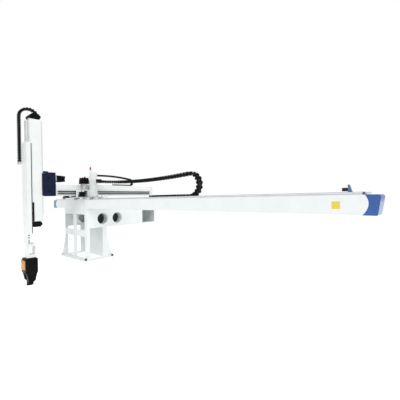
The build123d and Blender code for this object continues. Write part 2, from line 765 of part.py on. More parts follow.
# End bracket: a cast box between the crosswise arm and the guide blocks of stage 1
bracket_x = (stage_x[0] - 6, stage_x[1] + 12)
bracket_front = stage_1_rear + block_height + clearance
bracket_rear = arm_front
with BuildPart() as end_bracket:
    with BuildSketch(across_x(bracket_x[0])) as side:
        rectangle((bracket_front, bracket_rear), (bracket_bottom, bracket_top))
        fillet(side.vertices().group_by(Axis.Y)[-1].sort_by(Axis.Z)[-1], 60)
    extrude(amount=bracket_x[1] - bracket_x[0])
    with BuildSketch(across_x(bracket_x[0] + bracket_wall)):
        rectangle((bracket_front + bracket_wall, bracket_rear - bracket_wall), (bracket_bottom - 1, arm_top + 30))
    extrude(amount=bracket_x[1] - bracket_x[0] - 2 * bracket_wall, mode=Mode.SUBTRACT)
    cheek_front = stage_1_rear + running_gap
    for x in ((bracket_x[0] - 12, bracket_x[0]), (bracket_x[1] - 4, bracket_x[1] + 8)):
        bar_x(x, (cheek_front, bracket_rear - 30), (bracket_bottom + 12, bracket_top - 24))
    bar_y((lift_chain_x - lift_width / 2, bracket_x[0] - 12), span(lift_rear_y, lift_height),
          (lift_fixed_z - 50, lift_fixed_z - 2))
    bar_y((bracket_x[0] - 24, bracket_x[0] - 12), (lift_rear_y - lift_height / 2, bracket_rear - 40),
          (bracket_top - 100, lift_fixed_z - 2))
end_bracket.part.label = "end_bracket"
export_step(end_bracket.part, "parts/end_bracket.step")

# Guide blocks of stage 1, two on each rail, and the clamp that holds the belt's rear run
lift_block_z = (bracket_bottom + 60, bracket_top - 60)
lift_clamp_z = (1385, 1445)
with BuildPart() as lift_guide_blocks:
    for x in stage_rail_x:
        for z in lift_block_z:
            guide_block(Plane((x, stage_1_rear, z), x_dir=(0, 0, 1), z_dir=(0, 1, 0)))
    belt_rear_y = stage_middle_y + belt_pulley_radius + belt_thickness
    bar_z = lift_clamp_z
    bar_y(belt_x, (belt_rear_y + clearance, bracket_front), bar_z)
lift_guide_blocks.part.label = "lift_guide_blocks"
export_step(lift_guide_blocks.part, "parts/lift_guide_blocks.step")

# Lift drive: gearbox through the end bracket, with the motor lying on the arm
lift_rack_x = (stage_rail_x[0] + 27, stage_rail_x[0] + 27 + rack_width)
lift_drive_x = lift_rack_x[1] + pinion_tip + pinion_clearance
lift_drive_z = 1500
with BuildPart() as lift_gearbox:
    gearbox(Plane((lift_drive_x, bracket_rear, lift_drive_z), x_dir=(1, 0, 0), z_dir=(0, 1, 0)),
            square=98, length=40)
lift_gearbox.part.label = "lift_gearbox"
export_step(lift_gearbox.part, "parts/lift_gearbox.step")

with BuildPart() as lift_motor:
    servo_motor(Plane((lift_drive_x, bracket_rear + 40, lift_drive_z), x_dir=(1, 0, 0), z_dir=(0, 1, 0)),
                (0, -33))
lift_motor.part.label = "lift_motor"
export_step(lift_motor.part, "parts/lift_motor.step")

with BuildPart() as lift_pinion:
    with BuildSketch(Plane((lift_drive_x, bracket_front - clearance, lift_drive_z), x_dir=(1, 0, 0), z_dir=(0, -1, 0))):
        pinion_outline()
    extrude(amount=20)
lift_pinion.part.label = "lift_pinion"
export_step(lift_pinion.part, "parts/lift_pinion.step")

# Stage 1: hollow profile, with notches where the belt pulleys reach its faces
profile_z = (stage_1_bottom + head_height, stage_1_top - head_height)
pulley_z = (stage_1_bottom + belt_pulley_radius + belt_thickness + 8,
            stage_1_top - belt_pulley_radius - belt_thickness - 8)
notch = 56
with BuildPart() as stage_1_profile:
    with BuildSketch(across_z(profile_z[0])) as section:
        rectangle(stage_x, (stage_1_front, stage_1_rear))
        rectangle((stage_x[0] + stage_1_wall, stage_x[1] - stage_1_wall),
                  (stage_1_front + stage_1_wall, stage_1_rear - stage_1_wall), mode=Mode.SUBTRACT)
    extrude(amount=profile_z[1] - profile_z[0])
    notch_x = (belt_x[0] - 5, belt_x[1] + 5)
    for z in ((profile_z[0] - 1, pulley_z[0] + notch), (pulley_z[1] - notch, profile_z[1] + 1)):
        bar_y(notch_x, (stage_1_front - 1, stage_1_rear + 1), z, mode=Mode.SUBTRACT)
stage_1_profile.part.label = "stage_1_profile"
export_step(stage_1_profile.part, "parts/stage_1_profile.step")

stage_rail_z = (profile_z[0] + 6, profile_z[1] - 6)
with BuildPart() as stage_1_track:
    for x in stage_rail_x:
        bar_y(span(x, rail_width), (stage_1_rear, stage_1_rear + rail_height), stage_rail_z)
        bar_y(span(x, rail_width), (stage_1_front - rail_height, stage_1_front), stage_rail_z)
    bar_y(lift_rack_x, (stage_1_rear, stage_1_rear + rack_width), stage_rail_z)
stage_1_track.part.label = "stage_1_track"
export_step(stage_1_track.part, "parts/stage_1_track.step")


# A belt head closes each end of stage 1: a black block, slotted for its pulley
def belt_head(z, outer_corner):
    with BuildSketch(across_x(stage_x[0])) as side:
        rectangle((stage_1_front + 1, stage_1_rear - 1), z)
        end = side.vertices().group_by(Axis.Z)[outer_corner]
        chamfer(end, 34)
    extrude(side.sketch, amount=stage_1_width)
    bar_x((belt_x[0] - 5, belt_x[1] + 5), (stage_1_front, stage_1_rear), (z[0] - 1, z[1] + 1), mode=Mode.SUBTRACT)


with BuildPart() as stage_1_bottom_head:
    belt_head((stage_1_bottom, profile_z[0]), 0)
    bar_x((belt_x[0] - 5, belt_x[1] + 5), (stage_1_front + 50, stage_1_rear - 50), (stage_1_bottom, stage_1_bottom + 6))
    rod_x((belt_x[0] - 6, belt_x[1] + 6), stage_middle_y, pulley_z[0], 10)
    rod_x((belt_x[0] - 30, belt_x[0] - 5), stage_middle_y, pulley_z[0], 18)
    rod_x((belt_x[1] + 5, belt_x[1] + 30), stage_middle_y, pulley_z[0], 18)
stage_1_bottom_head.part.label = "stage_1_bottom_head"
export_step(stage_1_bottom_head.part, "parts/stage_1_bottom_head.step")

with BuildPart() as stage_1_top_head:
    belt_head((profile_z[1], stage_1_top), -1)
    bar_x((belt_x[0] - 5, belt_x[1] + 5), (stage_1_front + 50, stage_1_rear - 50), (stage_1_top - 6, stage_1_top))
    rod_x((belt_x[0] - 6, belt_x[1] + 6), stage_middle_y, pulley_z[1], 10)
    rod_x((belt_x[0] - 30, belt_x[0] - 5), stage_middle_y, pulley_z[1], 18)
    rod_x((belt_x[1] + 5, belt_x[1] + 30), stage_middle_y, pulley_z[1], 18)
stage_1_top_head.part.label = "stage_1_top_head"
export_step(stage_1_top_head.part, "parts/stage_1_top_head.step")


# Belt pulleys, flanged, turning on the axles in the heads
def belt_pulley(z):
    with BuildSketch(across_x(belt_x[0] - 2)) as disc:
        with Locations((stage_middle_y, z)):
            Circle(belt_pulley_radius - clearance)
            Circle(10 + shaft_fit, mode=Mode.SUBTRACT)
    extrude(disc.sketch, amount=belt_pulley_width)


with BuildPart() as bottom_belt_pulley:
    belt_pulley(pulley_z[0])
bottom_belt_pulley.part.label = "bottom_belt_pulley"
export_step(bottom_belt_pulley.part, "parts/bottom_belt_pulley.step")

with BuildPart() as top_belt_pulley:
    belt_pulley(pulley_z[1])
top_belt_pulley.part.label = "top_belt_pulley"
export_step(top_belt_pulley.part, "parts/top_belt_pulley.step")

# Toothed belt round both pulleys
with BuildPart() as telescope_belt:
    with BuildSketch(across_x(belt_x[0])):
        with Locations((stage_middle_y, (pulley_z[0] + pulley_z[1]) / 2)):
            SlotCenterToCenter(pulley_z[1] - pulley_z[0], 2 * (belt_pulley_radius + belt_thickness), rotation=90)
            SlotCenterToCenter(pulley_z[1] - pulley_z[0], 2 * belt_pulley_radius, rotation=90, mode=Mode.SUBTRACT)
    extrude(amount=belt_width)
telescope_belt.part.label = "telescope_belt"
export_step(telescope_belt.part, "parts/telescope_belt.step")

# Stage 2: a channel round the front of stage 1, on guide blocks near its top
with BuildPart() as stage_2_profile:
    with BuildSketch(across_z(stage_2_bottom)):
        rectangle(stage_2_x, (stage_2_front, stage_2_front + stage_2_flange))
        rectangle((stage_2_x[0] + stage_2_wall - 2, stage_2_x[1] - stage_2_wall + 2),
                  (stage_2_front + stage_2_wall, stage_2_front + stage_2_flange + 1), mode=Mode.SUBTRACT)
    extrude(amount=stage_2_top - stage_2_bottom)
stage_2_profile.part.label = "stage_2_profile"
export_step(stage_2_profile.part, "parts/stage_2_profile.step")

stage_2_block_z = (stage_2_top - 60, stage_2_top - 330)
with BuildPart() as stage_2_guide_blocks:
    pad = stage_1_front - block_height - (stage_2_front + stage_2_wall)
    for x in stage_rail_x:
        for z in stage_2_block_z:
            guide_block(Plane((x, stage_1_front, z), x_dir=(0, 0, 1), z_dir=(0, -1, 0)))
            bar_y(span(x, block_width), (stage_2_front + stage_2_wall, stage_1_front - block_height),
                  span(z, block_length))
    belt_front_y = stage_middle_y - belt_pulley_radius - belt_thickness
    bar_y(belt_x, (stage_2_front + stage_2_wall, belt_front_y - clearance), (stage_2_top - 220, stage_2_top - 160))
stage_2_guide_blocks.part.label = "stage_2_guide_blocks"
export_step(stage_2_guide_blocks.part, "parts/stage_2_guide_blocks.step")

# Lift energy chain: rear run to the end bracket, bend over the top, front run to stage 2
with BuildPart() as lift_chain_rear:
    add_links(lift_chain, run_places(Vector(lift_chain_x, lift_rear_y, lift_fixed_z),
                                     Vector(lift_chain_x, lift_rear_y, lift_bend_z), lift_pitch, along_x))
lift_chain_rear.part.label = "lift_chain_rear"
export_step(lift_chain_rear.part, "parts/lift_chain_rear.step")

with BuildPart() as lift_chain_bend:
    add_links(lift_chain, bend_places(Vector(lift_chain_x, lift_front_y + lift_radius, lift_bend_z), lift_radius,
                                      lift_pitch, 0, 180, along_x))
lift_chain_bend.part.label = "lift_chain_bend"
export_step(lift_chain_bend.part, "parts/lift_chain_bend.step")

with BuildPart() as lift_chain_front:
    add_links(lift_chain, run_places(Vector(lift_chain_x, lift_front_y, lift_front_z),
                                     Vector(lift_chain_x, lift_front_y, lift_bend_z), lift_pitch, along_x))
lift_chain_front.part.label = "lift_chain_front"
export_step(lift_chain_front.part, "parts/lift_chain_front.step")

# Bracket that holds the lift chain's moving end
with BuildPart() as lift_chain_arm:
    bar_y((lift_chain_x - lift_width / 2, stage_2_x[0]), (lift_front_y - 22, lift_front_y + 22),
          (lift_front_z - 44, lift_front_z - 2))
    bar_y((stage_2_x[0] - 8, stage_2_x[0]), (stage_2_front, stage_2_front + 60), (lift_front_z - 90, lift_front_z - 2))
lift_chain_arm.part.label = "lift_chain_arm"
export_step(lift_chain_arm.part, "parts/lift_chain_arm.step")

# Wrist bracket: tongue and adapter under stage 2, then a box with open sides
wrist_x = span(stage_middle_x, wrist_width)
adapter_y = (stage_2_front, stage_1_front - rail_height - running_gap)
with BuildPart() as wrist_bracket:
    bar_y(stage_2_x, adapter_y, (wrist_bracket_top, stage_2_bottom))
    bar_y((stage_2_x[0] + stage_2_wall, stage_2_x[1] - stage_2_wall), (stage_2_front + stage_2_wall, adapter_y[1]),
          (stage_2_bottom, stage_2_bottom + 70))
    bar_y(wrist_x, (adapter_y[0], adapter_y[0] + 130), (wrist_top, wrist_bracket_top))
    bar_x((wrist_x[0] - 1, wrist_x[1] + 1), (adapter_y[0] + 36, adapter_y[0] + 118),
          (wrist_top + 50, wrist_bracket_top - 50), mode=Mode.SUBTRACT)
wrist_bracket.part.label = "wrist_bracket"
export_step(wrist_bracket.part, "parts/wrist_bracket.step")

# Wrist: black housing turning under the bracket, with a fork for the tool head
fork_plate = 22
wrist_y = (wrist_front, wrist_front + wrist_depth)
wrist_middle_y = (wrist_y[0] + wrist_y[1]) / 2
fork_radius = 52
with BuildPart() as wrist_housing:
    with BuildSketch(across_z(-60)) as outline:
        rectangle(wrist_x, wrist_y)
        chamfer(outline.vertices(), 12)
    extrude(amount=wrist_top - clearance + 60)
    for x in ((wrist_x[0], wrist_x[0] + fork_plate), (wrist_x[1] - fork_plate, wrist_x[1])):
        with BuildSketch(across_x(x[0])):
            with BuildLine():
                Polyline((wrist_y[0] + 12, -60), (wrist_middle_y - fork_radius, wrist_axis_z), (wrist_middle_y +
                         fork_radius, wrist_axis_z), (wrist_y[1] - 12, -60), close=True)
            make_face()
            with Locations((wrist_middle_y, wrist_axis_z)):
                Circle(fork_radius)
                Circle(12.5 + shaft_fit, mode=Mode.SUBTRACT)
        extrude(amount=fork_plate)
wrist_housing.part.label = "wrist_housing"
export_step(wrist_housing.part, "parts/wrist_housing.step")

with BuildPart() as wrist_cover:
    with BuildSketch(across_y(wrist_front)) as outline:
        rectangle((wrist_x[0] + 14, wrist_x[1] - 14), (-52, 80))
        fillet(outline.vertices(), 12)
    extrude(amount=26)
wrist_cover.part.label = "wrist_cover"
export_step(wrist_cover.part, "parts/wrist_cover.step")

# Tool head: turns on the fork's pivot, and ends in the bolted tool flange
head_x = (wrist_x[0] + fork_plate + clearance, wrist_x[1] - fork_plate - clearance)
tool_face_z = wrist_axis_z - 114
with BuildPart() as tool_head:
    rod_x(head_x, wrist_middle_y, wrist_axis_z, 46)
    bar_x((head_x[0] + 6, head_x[1] - 6), span(wrist_middle_y, 76), (wrist_axis_z - 90, wrist_axis_z))
    rod_z(stage_middle_x, wrist_middle_y, (tool_face_z, wrist_axis_z - 90), tool_flange_diameter / 2)
    rod_x((wrist_x[0] - 3, wrist_x[1] + 3), wrist_middle_y, wrist_axis_z, 12.5)
    with BuildSketch(across_z(tool_face_z)):
        with Locations((stage_middle_x, wrist_middle_y)):
            with PolarLocations(tool_bolt_circle / 2, 4, start_angle=45):
                Circle(tool_bolt / 2)
    extrude(amount=18, mode=Mode.SUBTRACT)
tool_head.part.label = "tool_head"
export_step(tool_head.part, "parts/tool_head.step")
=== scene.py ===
from itertools import product
from math import cos, pi, radians, sin

import bmesh
import bpy
from mathutils import Matrix, Vector


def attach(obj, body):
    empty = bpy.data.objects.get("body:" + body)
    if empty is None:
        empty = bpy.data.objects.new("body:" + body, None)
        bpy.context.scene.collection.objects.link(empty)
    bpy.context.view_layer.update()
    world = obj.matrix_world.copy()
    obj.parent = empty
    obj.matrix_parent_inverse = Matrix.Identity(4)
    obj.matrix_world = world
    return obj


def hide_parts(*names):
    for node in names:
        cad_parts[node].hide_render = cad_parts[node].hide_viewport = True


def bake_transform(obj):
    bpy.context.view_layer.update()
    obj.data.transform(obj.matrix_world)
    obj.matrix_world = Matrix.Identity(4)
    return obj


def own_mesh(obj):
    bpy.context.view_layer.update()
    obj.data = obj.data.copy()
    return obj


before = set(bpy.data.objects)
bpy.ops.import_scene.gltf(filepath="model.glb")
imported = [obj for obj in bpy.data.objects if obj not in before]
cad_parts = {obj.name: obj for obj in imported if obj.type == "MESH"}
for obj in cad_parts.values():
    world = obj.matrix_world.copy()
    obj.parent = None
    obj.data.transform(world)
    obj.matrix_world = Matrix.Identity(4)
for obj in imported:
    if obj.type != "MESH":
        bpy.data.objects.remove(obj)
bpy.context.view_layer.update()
scene = bpy.context.scene
scene.view_settings.view_transform = "Standard"
print("frame: %d nodes" % len(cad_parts))


# camera, at the photograph's place
camera = {"place": (5.312, -2.640, 1.115), "turn": 41.1, "roll": 0.99, "lens": 24.75, "shiftDown": 0.00475}
turn, roll = radians(camera["turn"]), radians(camera["roll"])
forward = Vector((-sin(turn), cos(turn), 0))
level = Vector((cos(turn), sin(turn), 0))
up = Vector((0, 0, 1))
sideways = level * cos(roll) - up * sin(roll)
upward = up * cos(roll) + level * sin(roll)
cameraData = bpy.data.cameras.new("camera")
cameraData.lens = camera["lens"]
cameraData.sensor_width = 36
cameraData.shift_y = -camera["shiftDown"]
cameraData.clip_end = 100
cameraObject = bpy.data.objects.new("camera", cameraData)
cameraObject.matrix_world = Matrix((sideways, upward, -forward)).transposed().to_4x4()
cameraObject.matrix_world.translation = Vector(camera["place"])
scene.collection.objects.link(cameraObject)
scene.camera = cameraObject
print("camera placed")


# materials
def linear(hexColour):
    parts = [int(hexColour[i:i + 2], 16) / 255 for i in (1, 3, 5)]
    return tuple(p / 12.92 if p <= 0.04045 else ((p + 0.055) / 1.055) ** 2.4 for p in parts) + (1.0,)


def addNode(tree, kind, inputs=None, **settings):
    # one node, with its settings, its values and its links
    node = tree.nodes.new(kind)
    for name, value in settings.items():
        setattr(node, name, value)
    for name, value in (inputs or {}).items():
        if isinstance(value, bpy.types.NodeSocket):
            tree.links.new(value, node.inputs[name])
        else:
            node.inputs[name].default_value = value
    return node


def emptyMaterial(name):
    material = bpy.data.materials.new(name)
    material.use_nodes = True
    material.node_tree.nodes.clear()
    return material, material.node_tree


# shared by all finishes: size of the slow change of colour, size of the patches of edge wear and painted edge
# sheen, and the dust
spread = {"toneMm": 220, "patchMm": 1000 / 60, "dustColour": "#c9c6bd"}


def makeFinish(name, look):
    # tone: slow change of colour; grain: fine bump; edge: worn or rounded edge, and on the chain nylon a
    # lighter edge colour as painted sheen; dust on upper faces
    material, tree = emptyMaterial(name)
    place = addNode(tree, "ShaderNodeTexCoord").outputs["Object"]
    stretched = addNode(tree, "ShaderNodeMapping", {"Vector": place, "Scale": look.get("stretch", (1, 1, 1))})
    tone = addNode(tree, "ShaderNodeTexNoise", {"Vector": place, "Scale": 1000 / spread["toneMm"],
                                                "Detail": 4.0, "Roughness": 0.6})
    toneRange = addNode(tree, "ShaderNodeMapRange", {"Value": tone.outputs["Fac"], "From Min": 0.35,
                                                     "From Max": 0.7})
    grain = addNode(tree, "ShaderNodeTexNoise", {"Vector": stretched.outputs["Vector"],
                                                 "Scale": 1000 / look["grainMm"], "Detail": 3.0})
    colour = addNode(tree, "ShaderNodeMix", {"Factor": toneRange.outputs["Result"], 6: linear(look["colour"]),
                                             7: linear(look["toneColour"])},
                     data_type="RGBA")
    soft = addNode(tree, "ShaderNodeBevel", {"Radius": look["edgeMm"] / 1000}, samples=6)
    geometry = addNode(tree, "ShaderNodeNewGeometry")
    turned = addNode(tree, "ShaderNodeVectorMath", {0: soft.outputs["Normal"], 1: geometry.outputs["Normal"]},
                     operation="DOT_PRODUCT")
    edge = addNode(tree, "ShaderNodeMapRange", {"Value": turned.outputs["Value"], "From Min": 0.995,
                                                "From Max": 0.86})
    patchy = addNode(tree, "ShaderNodeTexNoise", {"Vector": place, "Scale": 1000 / spread["patchMm"],
                                                  "Detail": 4.0})
    patches = addNode(tree, "ShaderNodeMapRange", {"Value": patchy.outputs["Fac"], "From Min": 0.4,
                                                   "From Max": 0.62})
    # edges take the edge colour in patches: real wear on most finishes, painted sheen on the chain nylon
    wornAndSheenEdges = addNode(tree, "ShaderNodeMath", {0: edge.outputs["Result"], 1: patches.outputs["Result"]},
                   operation="MULTIPLY")
    wearAndSheen = addNode(tree, "ShaderNodeMath", {0: wornAndSheenEdges.outputs["Value"], 1: look["wearAndSheen"]},
                   operation="MULTIPLY")
    edged = addNode(tree, "ShaderNodeMix", {"Factor": wearAndSheen.outputs["Value"], 6: colour.outputs[2],
                                            7: linear(look.get("edgeColour", look["colour"]))},
                    data_type="RGBA")
    facing = addNode(tree, "ShaderNodeSeparateXYZ", {"Vector": geometry.outputs["Normal"]})
    lying = addNode(tree, "ShaderNodeMapRange", {"Value": facing.outputs["Z"], "From Min": 0.6,
                                                 "From Max": 1.0})
    dusty = addNode(tree, "ShaderNodeMath", {0: lying.outputs["Result"], 1: tone.outputs["Fac"]},
                    operation="MULTIPLY")
    dust = addNode(tree, "ShaderNodeMath", {0: dusty.outputs["Value"], 1: look.get("dust", 0.08)},
                   operation="MULTIPLY")
    final = addNode(tree, "ShaderNodeMix", {"Factor": dust.outputs["Value"], 6: edged.outputs[2],
                                            7: linear(spread["dustColour"])}, data_type="RGBA")
    roughLow, roughHigh = look["roughness"]
    rough = addNode(tree, "ShaderNodeMapRange", {"Value": grain.outputs["Fac"], "From Min": 0.3,
                                                 "From Max": 0.7, "To Min": roughLow, "To Max": roughHigh})
    bump = addNode(tree, "ShaderNodeBump", {"Height": grain.outputs["Fac"], "Strength": look.get("bump", 0.3),
                                            "Distance": look["bumpMm"] / 1000,
                                            "Normal": soft.outputs["Normal"]})
    values = {"Base Color": final.outputs[2], "Roughness": rough.outputs["Result"],
              "Normal": bump.outputs["Normal"], "Metallic": look.get("metallic", 0.0)}
    values.update(look.get("shader", {}))
    shader = addNode(tree, "ShaderNodeBsdfPrincipled", values)
    addNode(tree, "ShaderNodeOutputMaterial", {"Surface": shader.outputs["BSDF"]})
    return material


finishes = {
    # polyester powder coat on welded steel: smooth and semi-gloss, with a fine orange peel
    "powderCoatWhite": {
        "colour": "#f0f4f4", "toneColour": "#e9eeee", "roughness": (0.34, 0.46), "grainMm": 3.5,
        "bumpMm": 0.10, "bump": 0.35, "edgeMm": 2.0, "edgeColour": "#d3d8d8", "wearAndSheen": 0.5, "dust": 0.10,
        "shader": {"IOR": 1.5}},
    # powder coat over an aluminium extrusion: flatter, with faint die lines along its length
    "coatedExtrusion": {
        "colour": "#f3f6f6", "toneColour": "#edf1f1", "roughness": (0.28, 0.38), "grainMm": 2.0,
        "stretch": (0.02, 1, 1), "bumpMm": 0.03, "bump": 0.3, "edgeMm": 1.6, "edgeColour": "#dfe4e4",
        "wearAndSheen": 0.4, "shader": {"IOR": 1.5}},
    "coatedExtrusionCross": {
        "colour": "#eff2f1", "toneColour": "#e8ecea", "roughness": (0.28, 0.38), "grainMm": 2.0,
        "stretch": (1, 0.02, 1), "bumpMm": 0.03, "bump": 0.3, "edgeMm": 1.6, "edgeColour": "#dfe4e4",
        "wearAndSheen": 0.4, "shader": {"IOR": 1.5}},
    "coatedExtrusionUpright": {
        "colour": "#f0f3f1", "toneColour": "#e7ece9", "roughness": (0.28, 0.38), "grainMm": 2.0,
        "stretch": (1, 1, 0.02), "bumpMm": 0.03, "bump": 0.3, "edgeMm": 1.6, "edgeColour": "#dde2e0",
        "wearAndSheen": 0.4, "shader": {"IOR": 1.5}},
    # cream powder coat on folded sheet
    "powderCoatCream": {
        "colour": "#efeddc", "toneColour": "#e6e4d0", "roughness": (0.38, 0.5), "grainMm": 2.5,
        "bumpMm": 0.06, "edgeMm": 1.0, "edgeColour": "#cfcdba", "wearAndSheen": 0.4, "shader": {"IOR": 1.5}},
    # moulded ABS, light grey, with a fine spark-eroded texture
    "absLightGrey": {
        "colour": "#e4e8e5", "toneColour": "#dce1dd", "roughness": (0.36, 0.48), "grainMm": 1.2,
        "bumpMm": 0.05, "edgeMm": 2.0, "wearAndSheen": 0.1, "shader": {"IOR": 1.53}},
    # moulded ABS, blue and glossy
    "absBlue": {
        "colour": "#2f5fa8", "toneColour": "#28549a", "roughness": (0.22, 0.32), "grainMm": 2.5,
        "bumpMm": 0.03, "edgeMm": 2.5, "edgeColour": "#5f88c4", "wearAndSheen": 0.35, "dust": 0.05,
        "shader": {"IOR": 1.53, "Coat Weight": 0.15}},
    # the same ABS in a paler blue, on the left cap
    "absBluePale": {
        "colour": "#6f8fb8", "toneColour": "#6686b0", "roughness": (0.28, 0.38), "grainMm": 2.5,
        "bumpMm": 0.03, "edgeMm": 2.5, "edgeColour": "#93abc9", "wearAndSheen": 0.3, "shader": {"IOR": 1.53}},
    # moulded ABS, orange
    "absOrange": {
        "colour": "#d98f22", "toneColour": "#cc8319", "roughness": (0.28, 0.4), "grainMm": 1.5,
        "bumpMm": 0.04, "edgeMm": 2.0, "edgeColour": "#ecb052", "wearAndSheen": 0.3, "shader": {"IOR": 1.53}},
    # two-part paint on a cast aluminium box: the cast skin shows under it
    "navyCastPaint": {
        "colour": "#18233d", "toneColour": "#131c33", "roughness": (0.3, 0.44), "grainMm": 5,
        "bumpMm": 0.25, "bump": 0.4, "edgeMm": 3.0, "edgeColour": "#2c3956", "wearAndSheen": 0.5, "dust": 0.03,
        "shader": {"IOR": 1.5, "Specular IOR Level": 0.1}},
    # paint on folded steel, blue-grey
    "stopPaint": {
        "colour": "#5e7997", "toneColour": "#56708d", "roughness": (0.34, 0.46), "grainMm": 2.5,
        "bumpMm": 0.06, "edgeMm": 1.4, "edgeColour": "#8fa3b8", "wearAndSheen": 0.5, "shader": {"IOR": 1.5}},
    # hardened linear rail: ground steel, darkened in colour as painted shade for the shaded line where the
    # rails sit
    "darkRailPaintedShade": {
        "colour": "#5a5d61", "toneColour": "#4d5054", "roughness": (0.22, 0.34), "grainMm": 1.0,
        "bumpMm": 0.01, "edgeMm": 0.8, "metallic": 1.0, "edgeColour": "#8f9296", "wearAndSheen": 0.4},
    # induction-hardened rail with a ground face: bright, with a cool tint
    "groundRail": {
        "colour": "#e3e4e7", "toneColour": "#d6d7db", "roughness": (0.3, 0.42), "grainMm": 1.0,
        "bumpMm": 0.01, "edgeMm": 0.8, "metallic": 1.0, "edgeColour": "#d2d4d8", "wearAndSheen": 0.4},
    # ground steel guide block
    "groundSteel": {
        "colour": "#a9acae", "toneColour": "#9b9ea1", "roughness": (0.24, 0.36), "grainMm": 0.8,
        "bumpMm": 0.01, "edgeMm": 1.0, "metallic": 1.0, "edgeColour": "#cfd1d2", "wearAndSheen": 0.4},
    # hardened and oiled steel teeth
    "gearSteel": {
        "colour": "#8d9093", "toneColour": "#7c7f83", "roughness": (0.26, 0.4), "grainMm": 1.0,
        "bumpMm": 0.02, "edgeMm": 0.5, "metallic": 1.0, "edgeColour": "#b9bbbd", "wearAndSheen": 0.5},
    # milled and clear-anodised aluminium plate: satin, with a faint cutter pattern
    "anodisedPlate": {
        "colour": "#d3d6d6", "toneColour": "#c8cbcb", "roughness": (0.34, 0.46), "grainMm": 1.4,
        "stretch": (0.1, 1, 1), "bumpMm": 0.02, "edgeMm": 1.0, "metallic": 1.0, "edgeColour": "#e6e8e8",
        "wearAndSheen": 0.4},
    # bead-blasted aluminium gearbox housing: even and dull
    "blastedAluminium": {
        "colour": "#c3c7c5", "toneColour": "#b7bbb9", "roughness": (0.42, 0.55), "grainMm": 0.9,
        "bumpMm": 0.03, "edgeMm": 1.2, "metallic": 1.0, "edgeColour": "#dfe2e0", "wearAndSheen": 0.4},
    # satin black stove enamel on the servo motors
    "motorEnamel": {
        "colour": "#08090b", "toneColour": "#0c0d0f", "roughness": (0.3, 0.42), "grainMm": 2.0,
        "bumpMm": 0.05, "edgeMm": 1.6, "edgeColour": "#26272a", "wearAndSheen": 0.5, "dust": 0.02,
        "shader": {"IOR": 1.5, "Specular IOR Level": 0.08}},
    # glass-filled nylon energy chain: black, with a lighter edge colour that is painted sheen
    "glassFilledNylon": {
        "colour": "#0b0d0f", "toneColour": "#111416", "roughness": (0.36, 0.5), "grainMm": 1.0,
        "bumpMm": 0.04, "edgeMm": 0.9, "edgeColour": "#33393c", "wearAndSheen": 0.6, "dust": 0.05,
        "shader": {"IOR": 1.53, "Specular IOR Level": 0.1}},
    # corrugated polyamide conduit
    "conduitNylon": {
        "colour": "#07080a", "toneColour": "#0b0c0e", "roughness": (0.38, 0.5), "grainMm": 1.0,
        "bumpMm": 0.03, "edgeMm": 0.6, "edgeColour": "#1c1e21", "wearAndSheen": 0.4, "dust": 0.02,
        "shader": {"IOR": 1.53, "Specular IOR Level": 0.08}},
    # PVC cable jackets in the chains: dark grey
    "cablePvc": {
        "colour": "#2b2d30", "toneColour": "#232528", "roughness": (0.4, 0.52), "grainMm": 1.0,
        "bumpMm": 0.02, "edgeMm": 0.5, "wearAndSheen": 0.1, "shader": {"IOR": 1.52}},
    # machined acetal head, black; the same black on the stage 1 strip and on the box under the crosswise
    # gearbox is painted shade
    "acetalBlackAndPaintedShade": {
        "colour": "#090a0c", "toneColour": "#0e0f11", "roughness": (0.32, 0.44), "grainMm": 1.6,
        "bumpMm": 0.03, "edgeMm": 1.4, "edgeColour": "#24262a", "wearAndSheen": 0.5, "dust": 0.02,
        "shader": {"IOR": 1.48, "Specular IOR Level": 0.08}},
    # black paint on the cast wrist
    "wristPaint": {
        "colour": "#070a09", "toneColour": "#0b0f0d", "roughness": (0.3, 0.42), "grainMm": 3,
        "bumpMm": 0.12, "edgeMm": 2.2, "edgeColour": "#262b29", "wearAndSheen": 0.5, "dust": 0.02,
        "shader": {"IOR": 1.5, "Specular IOR Level": 0.08}},
    # moulded rubber; its black on the cable hole discs is painted shade
    "mouldedRubberAndPaintedShade": {
        "colour": "#151515", "toneColour": "#1b1b1b", "roughness": (0.6, 0.75), "grainMm": 1.2,
        "bumpMm": 0.05, "edgeMm": 1.5, "edgeColour": "#2c2c2c", "wearAndSheen": 0.3, "shader": {"IOR": 1.52}},
    # black oxide screws; the same black on the strip along stage 2 is painted shadow
    "blackOxideAndShadowStrip": {
        "colour": "#26272a", "toneColour": "#1e1f22", "roughness": (0.32, 0.45), "grainMm": 0.8,
        "bumpMm": 0.01, "edgeMm": 0.4, "metallic": 1.0, "edgeColour": "#55575a", "wearAndSheen": 0.5},
    # bright zinc plate on screws and washers
    "zincPlate": {
        "colour": "#c9cbc9", "toneColour": "#bcbeba", "roughness": (0.22, 0.34), "grainMm": 0.8,
        "bumpMm": 0.01, "edgeMm": 0.4, "metallic": 1.0, "edgeColour": "#e2e3e2", "wearAndSheen": 0.4},
    # clear red polycarbonate lamp lens
    "polycarbonateRed": {
        "colour": "#c81f24", "toneColour": "#b8181d", "roughness": (0.12, 0.2), "grainMm": 2,
        "bumpMm": 0.02, "edgeMm": 1.5, "edgeColour": "#e8585c", "wearAndSheen": 0.3, "dust": 0.02,
        "shader": {"IOR": 1.58, "Transmission Weight": 0.35, "Coat Weight": 0.3}},
    # plain yellow vinyl plate, bare
    "vinylYellow": {
        "colour": "#ecd954", "toneColour": "#e2ce48", "roughness": (0.3, 0.4), "grainMm": 1.5,
        "bumpMm": 0.02, "edgeMm": 0.4, "wearAndSheen": 0.1, "shader": {"IOR": 1.5}},
}
made = {name: makeFinish(name, look) for name, look in finishes.items()}
print("materials: %d finishes" % len(made))

